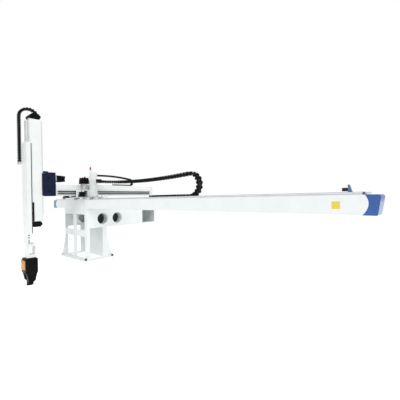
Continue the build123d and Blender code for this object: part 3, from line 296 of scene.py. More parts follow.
nodeFinish = {
    "powderCoatWhite": ("base_frame", "side_brackets", "drive_bracket", "chain_trough", "chain_tower"),
    "powderCoatCream": ("crosswise_chain_tray",),
    "coatedExtrusion": ("traverse_beam",),
    "coatedExtrusionCross": ("crosswise_beam",),
    "coatedExtrusionUpright": ("stage_1_profile", "stage_2_profile", "wrist_bracket"),
    "absLightGrey": ("crosswise_cap",),
    "navyCastPaint": ("end_bracket",),
    "stopPaint": ("end_stops",),
    "groundSteel": ("traverse_guide_blocks", "crosswise_guide_blocks", "lift_guide_blocks",
                    "stage_2_guide_blocks"),
    "gearSteel": ("traverse_pinion", "crosswise_pinion", "lift_pinion"),
    "anodisedPlate": ("carriage_plate", "bottom_belt_pulley", "top_belt_pulley", "lift_chain_arm"),
    "blastedAluminium": ("traverse_gearbox", "crosswise_gearbox", "lift_gearbox"),
    "glassFilledNylon": ("chain_connectors",),
    "acetalBlackAndPaintedShade": ("stage_1_bottom_head", "stage_1_top_head"),
    "wristPaint": ("tool_head",),
    "mouldedRubberAndPaintedShade": ("stop_bumpers", "telescope_belt"),
    "blackOxideAndShadowStrip": ("levelling_screws",),
}
for finish, names in nodeFinish.items():
    for name in names:
        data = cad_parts[name].data
        data.materials.clear()
        data.materials.append(made[finish])
print("carried-over nodes: finishes given")


# shapes, drawn in millimetres and turned to metres when a piece is finished
def addTurned(shape, place, axis, profile, segments, sixSided=(), finish=0):
    # each profile pair is a radius and a height along the axis; sixSided names the rings of a hexagon
    axis = Vector(axis).normalized()
    across = axis.orthogonal().normalized()
    other = axis.cross(across)
    rings = []
    for step, (radius, height) in enumerate(profile):
        centre = Vector(place) + axis * height
        if radius == 0:
            rings.append([shape.verts.new(centre)] * segments)
            continue
        ring = []
        for i in range(segments):
            angle = 2 * pi * i / segments
            reach = radius / cos(angle % (pi / 3) - pi / 6) if step in sixSided else radius
            ring.append(shape.verts.new(centre + (across * cos(angle) + other * sin(angle)) * reach))
        rings.append(ring)
    for low, high in zip(rings, rings[1:]):
        for i in range(segments):
            j = (i + 1) % segments
            corners = []
            for vert in (low[i], low[j], high[j], high[i]):
                if vert not in corners:
                    corners.append(vert)
            if len(corners) > 2:
                shape.faces.new(corners).material_index = finish


def addBlock(shape, x, y, z, bevel, segments=2):
    # a box with bevelled edges, from its two ends along each axis
    size = Vector((x[1] - x[0], y[1] - y[0], z[1] - z[0]))
    middle = Vector((x[0] + x[1], y[0] + y[1], z[0] + z[1])) / 2
    place = Matrix.Translation(middle) @ Matrix.Diagonal((*size, 1))
    cube = bmesh.ops.create_cube(shape, size=1, matrix=place)
    edges = {edge for vert in cube["verts"] for edge in vert.link_edges}
    bmesh.ops.bevel(shape, geom=list(edges), offset=bevel, segments=segments, affect="EDGES", profile=0.5)


def addPrism(shape, outline, depth, finish=0):
    # a flat outline pushed along a direction
    depth = Vector(depth)
    low = [shape.verts.new(Vector(point)) for point in outline]
    high = [shape.verts.new(Vector(point) + depth) for point in outline]
    shape.faces.new(low).material_index = finish
    shape.faces.new(high[::-1]).material_index = finish
    for i in range(len(low)):
        j = (i + 1) % len(low)
        shape.faces.new((low[i], high[i], high[j], low[j])).material_index = finish


def addTube(shape, points, radius, segments, finish=0):
    # a closed tube; radius is one number, or one for each point
    points = [Vector(point) for point in points]
    radii = radius if isinstance(radius, list) else [radius] * len(points)
    across = None
    rings = []
    for i, point in enumerate(points):
        along = (points[min(i + 1, len(points) - 1)] - points[max(i - 1, 0)]).normalized()
        across = along.orthogonal() if across is None else across - along * across.dot(along)
        across.normalize()
        other = along.cross(across)
        turns = [2 * pi * k / segments for k in range(segments)]
        rings.append([shape.verts.new(point + (across * cos(turn) + other * sin(turn)) * radii[i])
                      for turn in turns])
    for low, high in zip(rings, rings[1:]):
        for k in range(segments):
            j = (k + 1) % segments
            shape.faces.new((low[k], low[j], high[j], high[k])).material_index = finish
    shape.faces.new(rings[0][::-1]).material_index = finish
    shape.faces.new(rings[-1]).material_index = finish


def addScrew(shape, place, axis, size, finish=0):
    # socket head cap screw of a thread size, a little sunk in its seat
    head, socket, sunk = size * 0.75, size * 0.42, 0.4
    profile = [(0, -sunk), (head, -sunk), (head, size * 0.88), (head * 0.9, size), (socket, size),
               (socket, size * 0.45), (0, size * 0.45)]
    addTurned(shape, place, axis, profile, segments=18, sixSided=(4, 5), finish=finish)


def addScrews(shape, x, y, z, axis, size, finish=0):
    # a screw at every crossing of the places along x, y and z
    for place in product(x, y, z):
        addScrew(shape, place, axis, size, finish=finish)


def finishPiece(name, shape, body, materials, smooth=32, replaces=()):
    bmesh.ops.recalc_face_normals(shape, faces=shape.faces)
    shape.transform(Matrix.Scale(0.001, 4))
    data = bpy.data.meshes.new(name)
    shape.to_mesh(data)
    shape.free()
    for material in materials:
        data.materials.append(made[material])
    data.shade_smooth()
    data.set_sharp_from_angle(angle=radians(smooth))
    piece = bpy.data.objects.new(name, data)
    scene.collection.objects.link(piece)
    if body:
        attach(piece, body)
    if replaces:
        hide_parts(*replaces)
    return piece


# energy chains: size of a link, the bend and its first angle, and the ends and sag of the two runs
chains = {
    "traverse": {"pitch": 60, "height": 50, "width": 77, "plate": 4.5, "across": (0, 1, 0),
                 "centre": (2829, 30, 1295.5), "radius": 150, "bendLinks": 8, "first": -90,
                 "lower": ((1988, 30, 1145.5), (2829, 30, 1145.5), 0),
                 "upper": ((480, 30, 1463), (2829, 30, 1445.5), 50)},
    "crosswise": {"pitch": 45, "height": 34, "width": 60, "plate": 3.6, "across": (1, 0, 0),
                  "centre": (208, 874, 1480.5), "radius": 66, "bendLinks": 5, "first": -90,
                  "lower": ((208, 470, 1414.5), (208, 874, 1414.5), 0),
                  "upper": ((208, 64, 1590), (208, 874, 1546.5), -24)},
    "lift": {"pitch": 45, "height": 44, "width": 70, "plate": 4.2, "across": (1, 0, 0),
             "centre": (27, -1008, 2543), "radius": 144, "bendLinks": 10, "first": 0,
             "rear": ((27, -864, 1640), (27, -864, 2543), 0),
             "front": ((27, -1152, 1771), (27, -1152, 2543), 0)},
}


def linkMesh(kind):
    # one link: lapped side plates with a pin boss, and an outer and an inner bar
    pitch, height, width, plate = (kind[key] for key in ("pitch", "height", "width", "plate"))
    shape = bmesh.new()
    half = pitch / 2
    tall = height / 2
    for side in (-1, 1):
        outer = side * width / 2
        inner = side * (width / 2 - plate - 0.3)
        cut = height * 0.26
        back = [(-half * 0.96, -tall + cut), (-half * 0.66, -tall), (half * 0.2, -tall),
                (half * 0.4, -tall + cut), (half * 0.4, tall - cut), (half * 0.2, tall),
                (-half * 0.66, tall), (-half * 0.96, tall - cut)]
        addPrism(shape, [(x, outer, z) for x, z in back], (0, -side * plate, 0))
        low = tall * 0.52
        tongue = [(0, -low), (half * 1.1, -low), (half * 1.34, -low + cut), (half * 1.34, low - cut),
                  (half * 1.1, low), (0, low)]
        addPrism(shape, [(x, inner, z) for x, z in tongue], (0, -side * plate * 0.6, 0))
        addTurned(shape, (-half * 0.5, outer, 0), (0, side, 0),
                  [(height * 0.2, -0.5), (height * 0.2, 0.9), (height * 0.16, 1.3), (height * 0.08, 1.3),
                   (height * 0.08, 0.4), (0, 0.4)], segments=14)
    reach = width / 2 - plate
    for z in ((tall - 3.4, tall + 0.4), (-tall - 0.4, -tall + 3.4)):
        addBlock(shape, (-pitch * 0.2, pitch * 0.2), (-reach - 0.2, reach + 0.2), z, bevel=0.9, segments=1)
        for side in (-1, 1):
            addBlock(shape, (-pitch * 0.13, pitch * 0.13), sorted((side * reach, side * (width / 2 - 0.6))),
                     (z[0] - 0.3, z[1] + 0.4), bevel=0.6, segments=1)
    return shape


def copyLinks(shape, kind, places):
    data = bpy.data.meshes.new("link")
    link = linkMesh(kind)
    link.to_mesh(data)
    link.free()
    for origin, along, across in places:
        outward = along.cross(across)
        matrix = Matrix((along, across, outward)).transposed().to_4x4()
        matrix.translation = origin
        first = len(shape.verts)
        shape.from_mesh(data)
        shape.verts.ensure_lookup_table()
        for vert in shape.verts[first:]:
            vert.co = matrix @ vert.co
    bpy.data.meshes.remove(data)


def runPlaces(kind, start, finish, sag):
    # each place is a link's middle, its direction and its crosswise direction
    start, finish = Vector(start), Vector(finish)
    flat = finish - start
    count = round(flat.length / kind["pitch"])
    places = []
    for i in range(count):
        share = (i + 0.5) / count
        drop = Vector((0, 0, -4 * sag * share * (1 - share)))
        slope = Vector((0, 0, -4 * sag * (1 - 2 * share)))
        places.append((start + flat * share + drop, (flat + slope).normalized(), Vector(kind["across"])))
    return places


def bendPlaces(kind):
    # links round half a turn
    across = Vector(kind["across"])
    flat = Vector((1, 0, 0)) if abs(across.y) > 0.5 else Vector((0, 1, 0))
    places = []
    for i in range(kind["bendLinks"]):
        angle = radians(kind["first"] + 180 * (i + 0.5) / kind["bendLinks"])
        outward = flat * cos(angle) + Vector((0, 0, 1)) * sin(angle)
        middle = Vector(kind["centre"]) + outward * kind["radius"]
        places.append((middle, outward.cross(across).normalized(), across))
    return places


def addCables(shape, kind, places, cables):
    # jacketed cables through the links, each with its place across and up, and its radius
    half = kind["pitch"] / 2
    ends = [places[0][0] - places[0][1] * half] + [place[0] for place in places]
    ends.append(places[-1][0] + places[-1][1] * half)
    acrosses = [places[0][2]] * len(ends)
    for offset, lift, radius in cables:
        line = []
        for i, point in enumerate(ends):
            along = places[min(max(i - 1, 0), len(places) - 1)][1]
            wave = 1.6 * sin(i * 1.7 + offset)
            outward = along.cross(acrosses[i])
            line.append(point + acrosses[i] * (offset + wave * 0.5) + outward * (lift + wave * 0.6))
        addTube(shape, line, radius, segments=8, finish=1)


chainLayouts = {
    "traverseChainLower": ("traverse", "lower", None, "traverse_chain_lower"),
    "traverseChainBend": ("traverse", "bend", "traverse_bend", "traverse_chain_bend"),
    "traverseChainUpper": ("traverse", "upper", "carriage", "traverse_chain_upper"),
    "crosswiseChainLower": ("crosswise", "lower", None, "crosswise_chain_lower"),
    "crosswiseChainBend": ("crosswise", "bend", "crosswise_bend", "crosswise_chain_bend"),
    "crosswiseChainUpper": ("crosswise", "upper", "carriage", "crosswise_chain_upper"),
    "liftChainRear": ("lift", "rear", None, "lift_chain_rear"),
    "liftChainBend": ("lift", "bend", "stage_1", "lift_chain_bend"),
    "liftChainFront": ("lift", "front", None, "lift_chain_front"),
}
chainPieces = {}
for name, (kindName, part, body, node) in chainLayouts.items():
    kind = chains[kindName]
    places = bendPlaces(kind) if part == "bend" else runPlaces(kind, *kind[part])
    shape = bmesh.new()
    copyLinks(shape, kind, places)
    room = kind["width"] / 2 - kind["plate"] * 2 - 8
    cables = [(-room, -3, 6.5), (-room * 0.35, 3, 7.5), (room * 0.3, -2, 6), (room * 0.9, 2, 7)]
    addCables(shape, kind, places, cables)
    chainPieces[name] = finishPiece(name, shape, body, ["glassFilledNylon", "cablePvc"],
                                    replaces=(node,))
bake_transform(chainPieces["traverseChainLower"])
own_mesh(chainPieces["traverseChainUpper"])
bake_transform(chainPieces["crosswiseChainLower"])
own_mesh(chainPieces["crosswiseChainUpper"])
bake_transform(chainPieces["liftChainRear"])
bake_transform(chainPieces["liftChainFront"])
print("energy chains: %d pieces" % len(chainPieces))


# corrugated conduits in two layers in the cable tray
conduits = {"left": -576, "step": 46, "right": -40.5, "y": (-203, -163, -123), "z": 1177.5, "radius": 16.5,
            "groove": 2.2, "ridge": 7, "rise": 14}
upperLayer = {"count": 2, "shift": 20, "lift": 28, "cut": 8}
shape = bmesh.new()
for i, y in enumerate(conduits["y"]):
    left = conduits["left"] + conduits["step"] * i
    count = int((conduits["right"] - left) / (conduits["ridge"] / 2))
    line, radii = [], []
    for k in range(count + 1):
        x = left + (conduits["right"] - left) * k / count
        line.append((x, y, conduits["z"] + conduits["rise"] * sin(pi * k / count) ** 2))
        radii.append(conduits["radius"] - (conduits["groove"] if k % 2 else 0))
    addTube(shape, line, radii, segments=16)
    if i < upperLayer["count"]:
        cut = upperLayer["cut"]
        upper = [(x, y + upperLayer["shift"], z + upperLayer["lift"] * sin(pi * k / count) ** 0.4)
                 for k, (x, y, z) in enumerate(line)]
        addTube(shape, upper[cut:-cut], radii[cut:-cut], segments=16)
finishPiece("conduits", shape, "carriage", ["conduitNylon"], smooth=50,
            replaces=("hose_bundle",))

tray = {"x": (-600, -40), "y": (-229, -57), "floor": 1156.5, "sheet": 3, "lip": 9, "back": 30}
front, rear, floorZ = tray["y"][0], tray["y"][1], tray["floor"]
shape = bmesh.new()
for y, z in ((tray["y"], (floorZ, floorZ + tray["sheet"])),
             ((front, front + tray["sheet"]), (floorZ, floorZ + tray["lip"])),
             ((rear - tray["sheet"], rear), (floorZ, floorZ + tray["back"]))):
    addBlock(shape, tray["x"], y, z, bevel=0.6, segments=1)
finishPiece("hoseTray", shape, "carriage", ["powderCoatCream"], replaces=("cable_tray",))
print("conduits laid in their tray")


# racks with teeth of module 4, and rails with their screw plugs
rack = {"pitch": 4 * pi, "tooth": 9, "thickness": 20}
rail = {"width": 23, "height": 22, "groove": 2.4, "screwStep": 60, "endSpace": 40,
        "plug": [(5.6, -0.3), (5.6, 0.12), (4.6, 0.2), (0, 0.2)]}


def addRack(shape, start, along, outward, width, length):
    # the teeth point outward
    start, along, outward, width = Vector(start), Vector(along), Vector(outward), Vector(width)
    pitch, tooth, foot = rack["pitch"], rack["tooth"], rack["thickness"]
    line = [(0, -foot), (0, -tooth)]
    for i in range(int(length / pitch)):
        x = i * pitch
        line += [(x + pitch * 0.1, -tooth), (x + pitch * 0.36, 0), (x + pitch * 0.64, 0),
                 (x + pitch * 0.9, -tooth)]
    line += [(length, -tooth), (length, -foot)]
    near = [shape.verts.new(start + along * x + outward * y) for x, y in line]
    far = [shape.verts.new(start + along * x + outward * y + width) for x, y in line]
    for i in range(1, len(line) - 2):
        shape.faces.new((near[i], near[i + 1], far[i + 1], far[i])).material_index = 2
    for ring, shift in ((near, Vector()), (far, width)):
        low = [shape.verts.new(start + along * x - outward * foot + shift) for x, y in line]
        for i in range(1, len(line) - 2):
            shape.faces.new((ring[i], ring[i + 1], low[i + 1], low[i])).material_index = 2
    bmesh.ops.remove_doubles(shape, verts=shape.verts, dist=0.001)


def addRail(shape, start, along, normal, length):
    # a linear rail with grooved flanks, and a plug over each mounting screw
    start, along, normal = Vector(start), Vector(along), Vector(normal)
    across = along.cross(normal)
    half, height = rail["width"] / 2, rail["height"]
    neck = half - rail["groove"]
    outline = [(-half, 0), (half, 0), (half, height * 0.35), (neck, height * 0.5), (neck, height * 0.62),
               (half, height * 0.8), (half - 0.8, height), (-half + 0.8, height), (-half, height * 0.8),
               (-neck, height * 0.62), (-neck, height * 0.5), (-half, height * 0.35)]
    addPrism(shape, [start + across * x + normal * y for x, y in outline], along * length)
    drilled = length - rail["endSpace"]
    count = int(drilled / rail["screwStep"])
    for i in range(count + 1):
        place = start + along * (rail["endSpace"] / 2 + i * drilled / count) + normal * height
        addTurned(shape, place, normal, rail["plug"], segments=12, finish=1)


beamTrack = {"y": (-211, -43), "left": -920, "right": 4860, "top": 1120, "rackY": -113, "rackHeight": 24}
left, top = beamTrack["left"], beamTrack["top"]
length = beamTrack["right"] - left
shape = bmesh.new()
for y in beamTrack["y"]:
    addRail(shape, (left, y, top), (1, 0, 0), (0, 0, 1), length)
addRack(shape, (left, beamTrack["rackY"], top), (1, 0, 0), (0, -1, 0),
        (0, 0, beamTrack["rackHeight"]), length)
finishPiece("traverseRails", shape, "base", ["groundRail", "acetalBlackAndPaintedShade", "gearSteel"],
            replaces=("traverse_track",))

sideTrack = {"x": (288, 128), "z": 1274, "near": -658, "far": 1350, "rackX": 308, "rackZ": 1222,
             "rackHeight": 24}
near = sideTrack["near"]
length = sideTrack["far"] - near
shape = bmesh.new()
for x, side in zip(sideTrack["x"], (1, -1)):
    addRail(shape, (x, near, sideTrack["z"]), (0, 1, 0), (side, 0, 0), length)
addRack(shape, (sideTrack["rackX"], near, sideTrack["rackZ"]), (0, 1, 0), (1, 0, 0),
        (0, 0, sideTrack["rackHeight"]), length)
# the crosswise rails' dark colour is painted shade
finishPiece("crosswiseRails", shape, "crosswise_arm",
            ["darkRailPaintedShade", "acetalBlackAndPaintedShade", "gearSteel"], replaces=("crosswise_track",))

upright = {"bottom": 785, "top": 2460, "x": (110, 266), "rear": -904, "front": -1072, "rackX": 157,
           "rackHeight": 20}
bottom = upright["bottom"]
length = upright["top"] - bottom
shape = bmesh.new()
for x in upright["x"]:
    addRail(shape, (x, upright["rear"], bottom), (0, 0, 1), (0, 1, 0), length)
    addRail(shape, (x, upright["front"], bottom), (0, 0, 1), (0, -1, 0), length)
addRack(shape, (upright["rackX"], upright["rear"], bottom), (0, 0, 1), (1, 0, 0),
        (0, upright["rackHeight"], 0), length)
finishPiece("uprightRails", shape, "stage_1", ["groundRail", "acetalBlackAndPaintedShade", "gearSteel"],
            replaces=("stage_1_track",))
print("rails and racks: 3 pieces")


# servo motors: flange, ribbed body, rear cover with its screws, and a screwed connector
motors = {
    "traverseMotor": {"node": "traverse_motor", "body": "carriage", "foot": (15, -149.1, 1284.5),
                      "lying": False, "square": 118, "length": 112, "connector": (-33, 0)},
    "crosswiseMotor": {"node": "crosswise_motor", "body": "carriage", "foot": (344.1, -208, 1413.5),
                       "lying": False, "square": 144, "length": 112, "connector": (33, 0)},
    "liftMotor": {"node": "lift_motor", "body": "crosswise_arm", "foot": (193.1, -648, 1500),
                  "lying": True, "square": 118, "length": 140, "connector": (0, -33)},
}
# lengths in millimetres, and shares: of the length for the two ends, else of the half square or cover
motorForm = {"flange": 14, "body": 0.93, "cover": 0.86, "bodyEnd": 0.68, "ribs": 7, "ribStep": 0.2,
             "ribStart": 20, "ribEnd": 0.62, "screw": 7, "screwPlace": 0.78,
             "connector": [(0, 0), (15, 0), (15, 7), (13, 8), (13, 15), (14.5, 15.5), (14.5, 19), (9, 19),
                           (9, 12), (0, 12)]}


def addMotor(shape, look):
    form, half, length = motorForm, look["square"] / 2, look["length"]
    body, cover, bodyEnd = half * form["body"], half * form["cover"], length * form["bodyEnd"]
    addBlock(shape, (-half, half), (-half, half), (0, form["flange"]), bevel=5)
    addBlock(shape, (-body, body), (-body, body), (form["flange"], bodyEnd), bevel=8)
    addBlock(shape, (-cover, cover), (-cover, cover), (bodyEnd, length), bevel=6)
    run = (form["ribStart"], length * form["ribEnd"])
    for k in range(form["ribs"]):
        middle = (k - form["ribs"] // 2) * half * form["ribStep"]
        rib = (middle - 2.4, middle + 2.4)
        for side in (-1, 1):
            out = sorted((side * (body - 1), side * (body + 2.6)))
            addBlock(shape, rib, out, run, bevel=1, segments=1)
            addBlock(shape, out, rib, run, bevel=1, segments=1)
    corner = cover * form["screwPlace"]
    addScrews(shape, (-corner, corner), (-corner, corner), (length,), (0, 0, 1), form["screw"], finish=1)
    addTurned(shape, (*look["connector"], length - 1), (0, 0, 1), form["connector"], segments=24, finish=1)


# the lift motor lies along the crosswise arm
lying = Matrix(((1, 0, 0, 0), (0, 0, 1, 0), (0, -1, 0, 0), (0, 0, 0, 1)))
for name, look in motors.items():
    shape = bmesh.new()
    addMotor(shape, look)
    if look["lying"]:
        shape.transform(lying)
    shape.transform(Matrix.Translation(Vector(look["foot"])))
    finishPiece(name, shape, look["body"], ["motorEnamel", "blackOxideAndShadowStrip"],
                replaces=(look["node"],))
print("servo motors: 3 pieces")


# moulded end caps, each shaped to a rounded end of the beam
caps = {"front": -228, "width": 202, "middleZ": 1040, "halfHeight": 81}
capRight = {"middle": 4903, "slope": 10, "bulge": 33,
            "outer": [(4966, 1121), (4977, 1118), (4984, 1110), (4985, 1098), (4964, 968), (4957, 959)]}
beamEnd = {"x": 4850, "front": -227.4, "width": 200.8, "bottom": 960.3, "top": 1119.7, "halfHeight": 80,
           "overlap": 0.5}
capLeft = {"middle": -890, "reach": 60,
           "outer": [(-988, 1121), (-996, 1118), (-1000, 1110), (-1000, 970), (-996, 962), (-988, 959)]}
shares = [k / 8 - 1 for k in range(17)]      # of half the height, from the bottom edge to the top


def addCap(shape, edge, outer):
    # edge gives x for a share of the height; outer runs from the top corner to the bottom one
    inner = [(edge(share), caps["middleZ"] + caps["halfHeight"] * share) for share in shares]
    addPrism(shape, [(x, caps["front"], z) for x, z in inner + outer], (0, caps["width"], 0))


def rightEdge(share):
    return capRight["middle"] + capRight["slope"] * share - capRight["bulge"] * share * share


def leftEdge(share):
    return capLeft["middle"] + capLeft["reach"] * share * share


# the right cap's piece also fills in the rounded end of the beam, which the solid beam lacks
shape = bmesh.new()
addCap(shape, rightEdge, capRight["outer"])
ends = [(rightEdge(share) + beamEnd["overlap"], caps["middleZ"] + beamEnd["halfHeight"] * share)
        for share in shares]
outline = [(beamEnd["x"], beamEnd["bottom"]), *ends, (beamEnd["x"], beamEnd["top"])]
addPrism(shape, [(x, beamEnd["front"], z) for x, z in outline], (0, beamEnd["width"], 0), finish=1)
finishPiece("beamCapRight", shape, "base", ["absBlue", "coatedExtrusion"],
            replaces=("beam_cap_right",))

shape = bmesh.new()
addCap(shape, leftEdge, capLeft["outer"])
finishPiece("beamCapLeft", shape, "base", ["absBluePale"], replaces=("beam_cap_left",))
print("beam caps: 2 pieces")


# wrist: painted casting with a wide fork and bearing covers, and the moulded cover on its front
wrist = {"x": (76, 300), "y": (-1165, -985), "bottom": -62, "shoulder": 176, "top": 185.5,
         "neckX": (100, 276), "neckY": (-1150, -1000), "neckBottom": 170, "head": (135.5, 240.5),
         "axisY": -1076, "axisZ": -150, "arm": 58, "screwCircle": 31,
         "bearing": [(0, 0), (42, 0), (42, 3.5), (39, 5), (16, 5), (14, 3), (0, 3)]}
front, rear = wrist["y"]
axisY, axisZ, arm, circle = (wrist[key] for key in ("axisY", "axisZ", "arm", "screwCircle"))
shape = bmesh.new()
addBlock(shape, wrist["x"], wrist["y"], (wrist["bottom"], wrist["shoulder"]), bevel=12, segments=3)
addBlock(shape, wrist["neckX"], wrist["neckY"], (wrist["neckBottom"], wrist["top"]), bevel=3)
for inner, outer in ((wrist["head"][0] - 0.5, wrist["x"][0]), (wrist["head"][1] + 0.5, wrist["x"][1])):
    side = 1 if outer > inner else -1
    outline = [(front + 10, wrist["bottom"] + 8), (axisY - arm, axisZ + 6)]
    for k in range(1, 16):
        angle = pi + pi * k / 16
        outline.append((axisY + arm * cos(angle), axisZ + arm * sin(angle)))
    outline += [(axisY + arm, axisZ + 6), (rear - 10, wrist["bottom"] + 8)]
    addPrism(shape, [(inner, y, z) for y, z in outline], (outer - inner - side * 4, 0, 0))
    addTurned(shape, (outer - side * 4.5, axisY, axisZ), (side, 0, 0), wrist["bearing"], segments=32)
    for k in range(6):
        angle = pi * (k + 0.5) / 3
        place = (outer + side * 0.5, axisY + circle * cos(angle), axisZ + circle * sin(angle))
        addScrew(shape, place, (side, 0, 0), 5, finish=1)
finishPiece("wristCasting", shape, "wrist", ["wristPaint", "blackOxideAndShadowStrip"],
            replaces=("wrist_housing",))

cover = {"x": (96, 280), "z": (-2, 145), "depth": 13, "panelX": (116, 260), "panelZ": (18, 125), "inset": 9}
face = front - cover["depth"]
shape = bmesh.new()
addBlock(shape, cover["x"], (face, front + 1), cover["z"], bevel=5, segments=3)
addBlock(shape, cover["panelX"], (face - 2, face + 1), cover["panelZ"], bevel=1.4)
addScrews(shape, (cover["x"][0] + cover["inset"], cover["x"][1] - cover["inset"]), (face,),
          (cover["z"][0] + cover["inset"], cover["z"][1] - cover["inset"]), (0, -1, 0), 5, finish=1)
finishPiece("wristCover", shape, "wrist", ["absOrange", "blackOxideAndShadowStrip"],
            replaces=("wrist_cover",))
print("wrist: 2 pieces")


# screws, strips and small fittings
bracket = {"face": 308, "edgeY": (-885, -745), "edgeZ": (1232, 1340, 1450, 1552), "edgeSize": 10,
           "driveY": (-790, -820), "driveZ": (1280, 1500), "driveSize": 12}
shape = bmesh.new()
addScrews(shape, (bracket["face"],), bracket["edgeY"], bracket["edgeZ"], (1, 0, 0), bracket["edgeSize"])
addScrews(shape, (bracket["face"],), bracket["driveY"], bracket["driveZ"], (1, 0, 0), bracket["driveSize"])
finishPiece("bracketScrews", shape, "crosswise_arm", ["blackOxideAndShadowStrip"])

# screws on stage 2, and a thin black strip along its channel edge: the strip is painted shadow for the dark
# gap between stage 2 and stage 1
screwsAndShadowStrip = {"face": 300, "y": (-1121, -1107), "z": (561, 520, 471, 439), "size": 8,
        "stripX": (299.6, 300.8), "stripY": (-1068, -1056.5), "stripZ": (585, 2060)}
shape = bmesh.new()
addScrews(shape, (screwsAndShadowStrip["face"],), screwsAndShadowStrip["y"], screwsAndShadowStrip["z"], (1, 0, 0), screwsAndShadowStrip["size"])
addBlock(shape, screwsAndShadowStrip["stripX"], screwsAndShadowStrip["stripY"], screwsAndShadowStrip["stripZ"], bevel=0.3, segments=1)
finishPiece("stageTwoScrewsAndShadowStrip", shape, "stage_2", ["blackOxideAndShadowStrip"])

# a black strip with stubs on stage 1, in the gap behind the stage 2 channel: its black is painted shadow for
# that gap
strip = {"x": (287.5, 296), "y": (-1050, -1028), "z": (782, 1090), "stubY": -1039,
         "stubZ": (1083, 1034, 912, 856), "stub": [(0, 0), (12, 0), (12, 3), (9, 6), (0, 7)]}
shape = bmesh.new()
addBlock(shape, strip["x"], strip["y"], strip["z"], bevel=2)
for z in strip["stubZ"]:
    addTurned(shape, (strip["x"][1] - 0.5, strip["stubY"], z), (1, 0, 0), strip["stub"], segments=20)
finishPiece("stageOneStrip", shape, "stage_1", ["acetalBlackAndPaintedShade"])

plate = {"x": (4640, 4704), "z": (1008, 1069), "face": -227}
shape = bmesh.new()
addBlock(shape, plate["x"], (plate["face"] - 1.1, plate["face"] + 0.3), plate["z"], bevel=0.4, segments=1)
finishPiece("yellowPlate", shape, "base", ["vinylYellow"])

# a black box with a lid, lid screws and cable glands under the crosswise gearbox: its black is painted shade
# for the shaded hollow between the bracket legs
box = {"x": (396, 466), "y": (-332, -246), "z": (1172, 1258), "lid": (1246, 1264), "rim": 1.5, "inset": 9,
       "glandZ": 1205, "gland": [(0, 0), (11, 0), (11, 7), (9, 8), (9, 14), (5, 18), (5, 14), (0, 14)]}
left, right = box["x"]
front, rear = box["y"]
rim, inset = box["rim"], box["inset"]
shape = bmesh.new()
addBlock(shape, box["x"], box["y"], box["z"], bevel=4, segments=3)
addBlock(shape, (left - rim, right + rim), (front - rim, rear + rim), box["lid"], bevel=3)
for x in (left + inset, right - inset):
    addScrews(shape, (x,), (front + inset, rear - inset), (box["lid"][1],), (0, 0, 1), 5, finish=1)
    gland = ((x + (left + right) / 2) / 2, front + 1, box["glandZ"])
    addTurned(shape, gland, (0, -1, 0), box["gland"], segments=18, sixSided=(1, 2))
finishPiece("blackBoxPaintedShade", shape, "carriage", ["acetalBlackAndPaintedShade", "zincPlate"])

# cable holes through the base: black rubber discs on the right, whose black is painted shade for the dark
# inside of the holes; screwed blanks on the left
holes = {"y": (88, 403), "z": 757, "right": 318, "left": -462.5, "screwCircle": 104, "screw": 6,
         "shadeDisc": [(0, 0), (103, 0), (103, 4), (96, 6), (30, 3), (0, 3)],
         "blank": [(0, 0), (111, 0), (113, 2), (113, 3.2), (0, 3.2)]}
shape = bmesh.new()
for y in holes["y"]:
    addTurned(shape, (holes["right"], y, holes["z"]), (1, 0, 0), holes["shadeDisc"], segments=48)
finishPiece("holeDiscsPaintedShade", shape, "base", ["mouldedRubberAndPaintedShade"])

carriage = {"x": (-10, 180, 480, 670), "y": (-218, -204, -50, -36), "top": 1172.5, "screw": 8}
shape = bmesh.new()
addScrews(shape, carriage["x"], carriage["y"], (carriage["top"],), (0, 0, 1), carriage["screw"])
finishPiece("carriageScrews", shape, "carriage", ["blackOxideAndShadowStrip"])

shape = bmesh.new()
for y in holes["y"]:
    addTurned(shape, (holes["left"], y, holes["z"]), (1, 0, 0), holes["blank"], segments=48)
    for k in range(4):
        angle = pi * (k + 0.5) / 2
        place = (holes["left"] + 0.5, y + holes["screwCircle"] * cos(angle),
                 holes["z"] + holes["screwCircle"] * sin(angle))
        addScrew(shape, place, (-1, 0, 0), holes["screw"], finish=1)
finishPiece("holeBlanks", shape, "base", ["powderCoatWhite", "zincPlate"])

lamp = {"place": (356, -86, 1676), "radius": 15, "height": 62, "ribs": 8, "ribStep": 6, "groove": 1.2}
radius = lamp["radius"]
shape = bmesh.new()
profile = [(0, 0), (radius + 2, 0), (radius + 2, 5)]
for k in range(lamp["ribs"]):
    rise = k * lamp["ribStep"]
    profile += [(radius, 6 + rise), (radius - lamp["groove"], 9 + rise)]
profile += [(radius, 54), (radius * 0.8, 60), (0, lamp["height"])]
addTurned(shape, lamp["place"], (0, 0, 1), profile, segments=32)
finishPiece("signalLamp", shape, "carriage", ["polycarbonateRed"], replaces=("lamp_lens",))
print("screws and fittings: 9 pieces")


# floor and light; the floor's glow is seen, straight or in a reflection, but it lights nothing
studio = {"floor": -1.85, "floorHalf": 60, "floorColour": "#f4f5f5", "floorTone": "#f8f9f9", "glow": 0.32,
          "sky": 0.62}
suns = {"key": (1.25, (-0.45, 0.62, -0.75), 40), "fill": (0.55, (-0.8, -0.1, -0.35), 70),
        "rim": (0.35, (0.6, -0.5, -0.6), 50)}      # strength, direction, and softness in degrees
floorMaterial, tree = emptyMaterial("matteFloor")
speckle = addNode(tree, "ShaderNodeTexNoise", {"Scale": 3.0, "Detail": 3.0})
floorTone = addNode(tree, "ShaderNodeMix", {"Factor": speckle.outputs["Fac"], 6: linear(studio["floorTone"]),
                                            7: linear(studio["floorColour"])}, data_type="RGBA")
matte = addNode(tree, "ShaderNodeBsdfPrincipled", {"Base Color": floorTone.outputs[2], "Roughness": 0.8})
glow = addNode(tree, "ShaderNodeEmission", {"Color": (1, 1, 1, 1), "Strength": studio["glow"]})
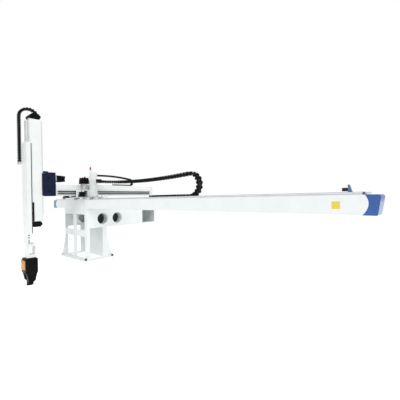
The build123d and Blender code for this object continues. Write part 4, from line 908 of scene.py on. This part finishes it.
lit = addNode(tree, "ShaderNodeAddShader", {0: matte.outputs["BSDF"], 1: glow.outputs["Emission"]})
rays = addNode(tree, "ShaderNodeLightPath")
seen = addNode(tree, "ShaderNodeMath", {0: rays.outputs["Is Camera Ray"], 1: rays.outputs["Is Glossy Ray"]},
               operation="MAXIMUM")
seenThrough = addNode(tree, "ShaderNodeMath", {0: seen.outputs["Value"],
                                               1: rays.outputs["Is Transmission Ray"]},
                      operation="MAXIMUM")
choice = addNode(tree, "ShaderNodeMixShader", {0: seenThrough.outputs["Value"], 1: matte.outputs["BSDF"],
                                               2: lit.outputs["Shader"]})
addNode(tree, "ShaderNodeOutputMaterial", {"Surface": choice.outputs["Shader"]})
floorShape = bmesh.new()
bmesh.ops.create_grid(floorShape, x_segments=1, y_segments=1, size=studio["floorHalf"],
                      matrix=Matrix.Translation((0, 0, studio["floor"])))
floorData = bpy.data.meshes.new("floor")
floorShape.to_mesh(floorData)
floorShape.free()
floorData.materials.append(floorMaterial)
floor = bpy.data.objects.new("floor", floorData)
scene.collection.objects.link(floor)

world = bpy.data.worlds.new("studio")
world.use_nodes = True
world.node_tree.nodes.clear()
tree = world.node_tree
rays = addNode(tree, "ShaderNodeLightPath")
seen = addNode(tree, "ShaderNodeMath", {0: rays.outputs["Is Camera Ray"],
                                        1: rays.outputs["Is Transmission Ray"]}, operation="MAXIMUM")
strength = addNode(tree, "ShaderNodeMapRange", {"Value": seen.outputs["Value"], "To Min": studio["sky"],
                                                "To Max": 1.0})
sky = addNode(tree, "ShaderNodeBackground", {"Color": (1, 1, 1, 1), "Strength": strength.outputs["Result"]})
addNode(tree, "ShaderNodeOutputWorld", {"Surface": sky.outputs["Background"]})
scene.world = world

for name, (strength, direction, softness) in suns.items():
    data = bpy.data.lights.new(name, "SUN")
    data.energy = strength
    data.angle = radians(softness)
    sun = bpy.data.objects.new(name, data)
    sun.rotation_euler = Vector(direction).to_track_quat("-Z", "Y").to_euler()
    scene.collection.objects.link(sun)
print("floor and light set")
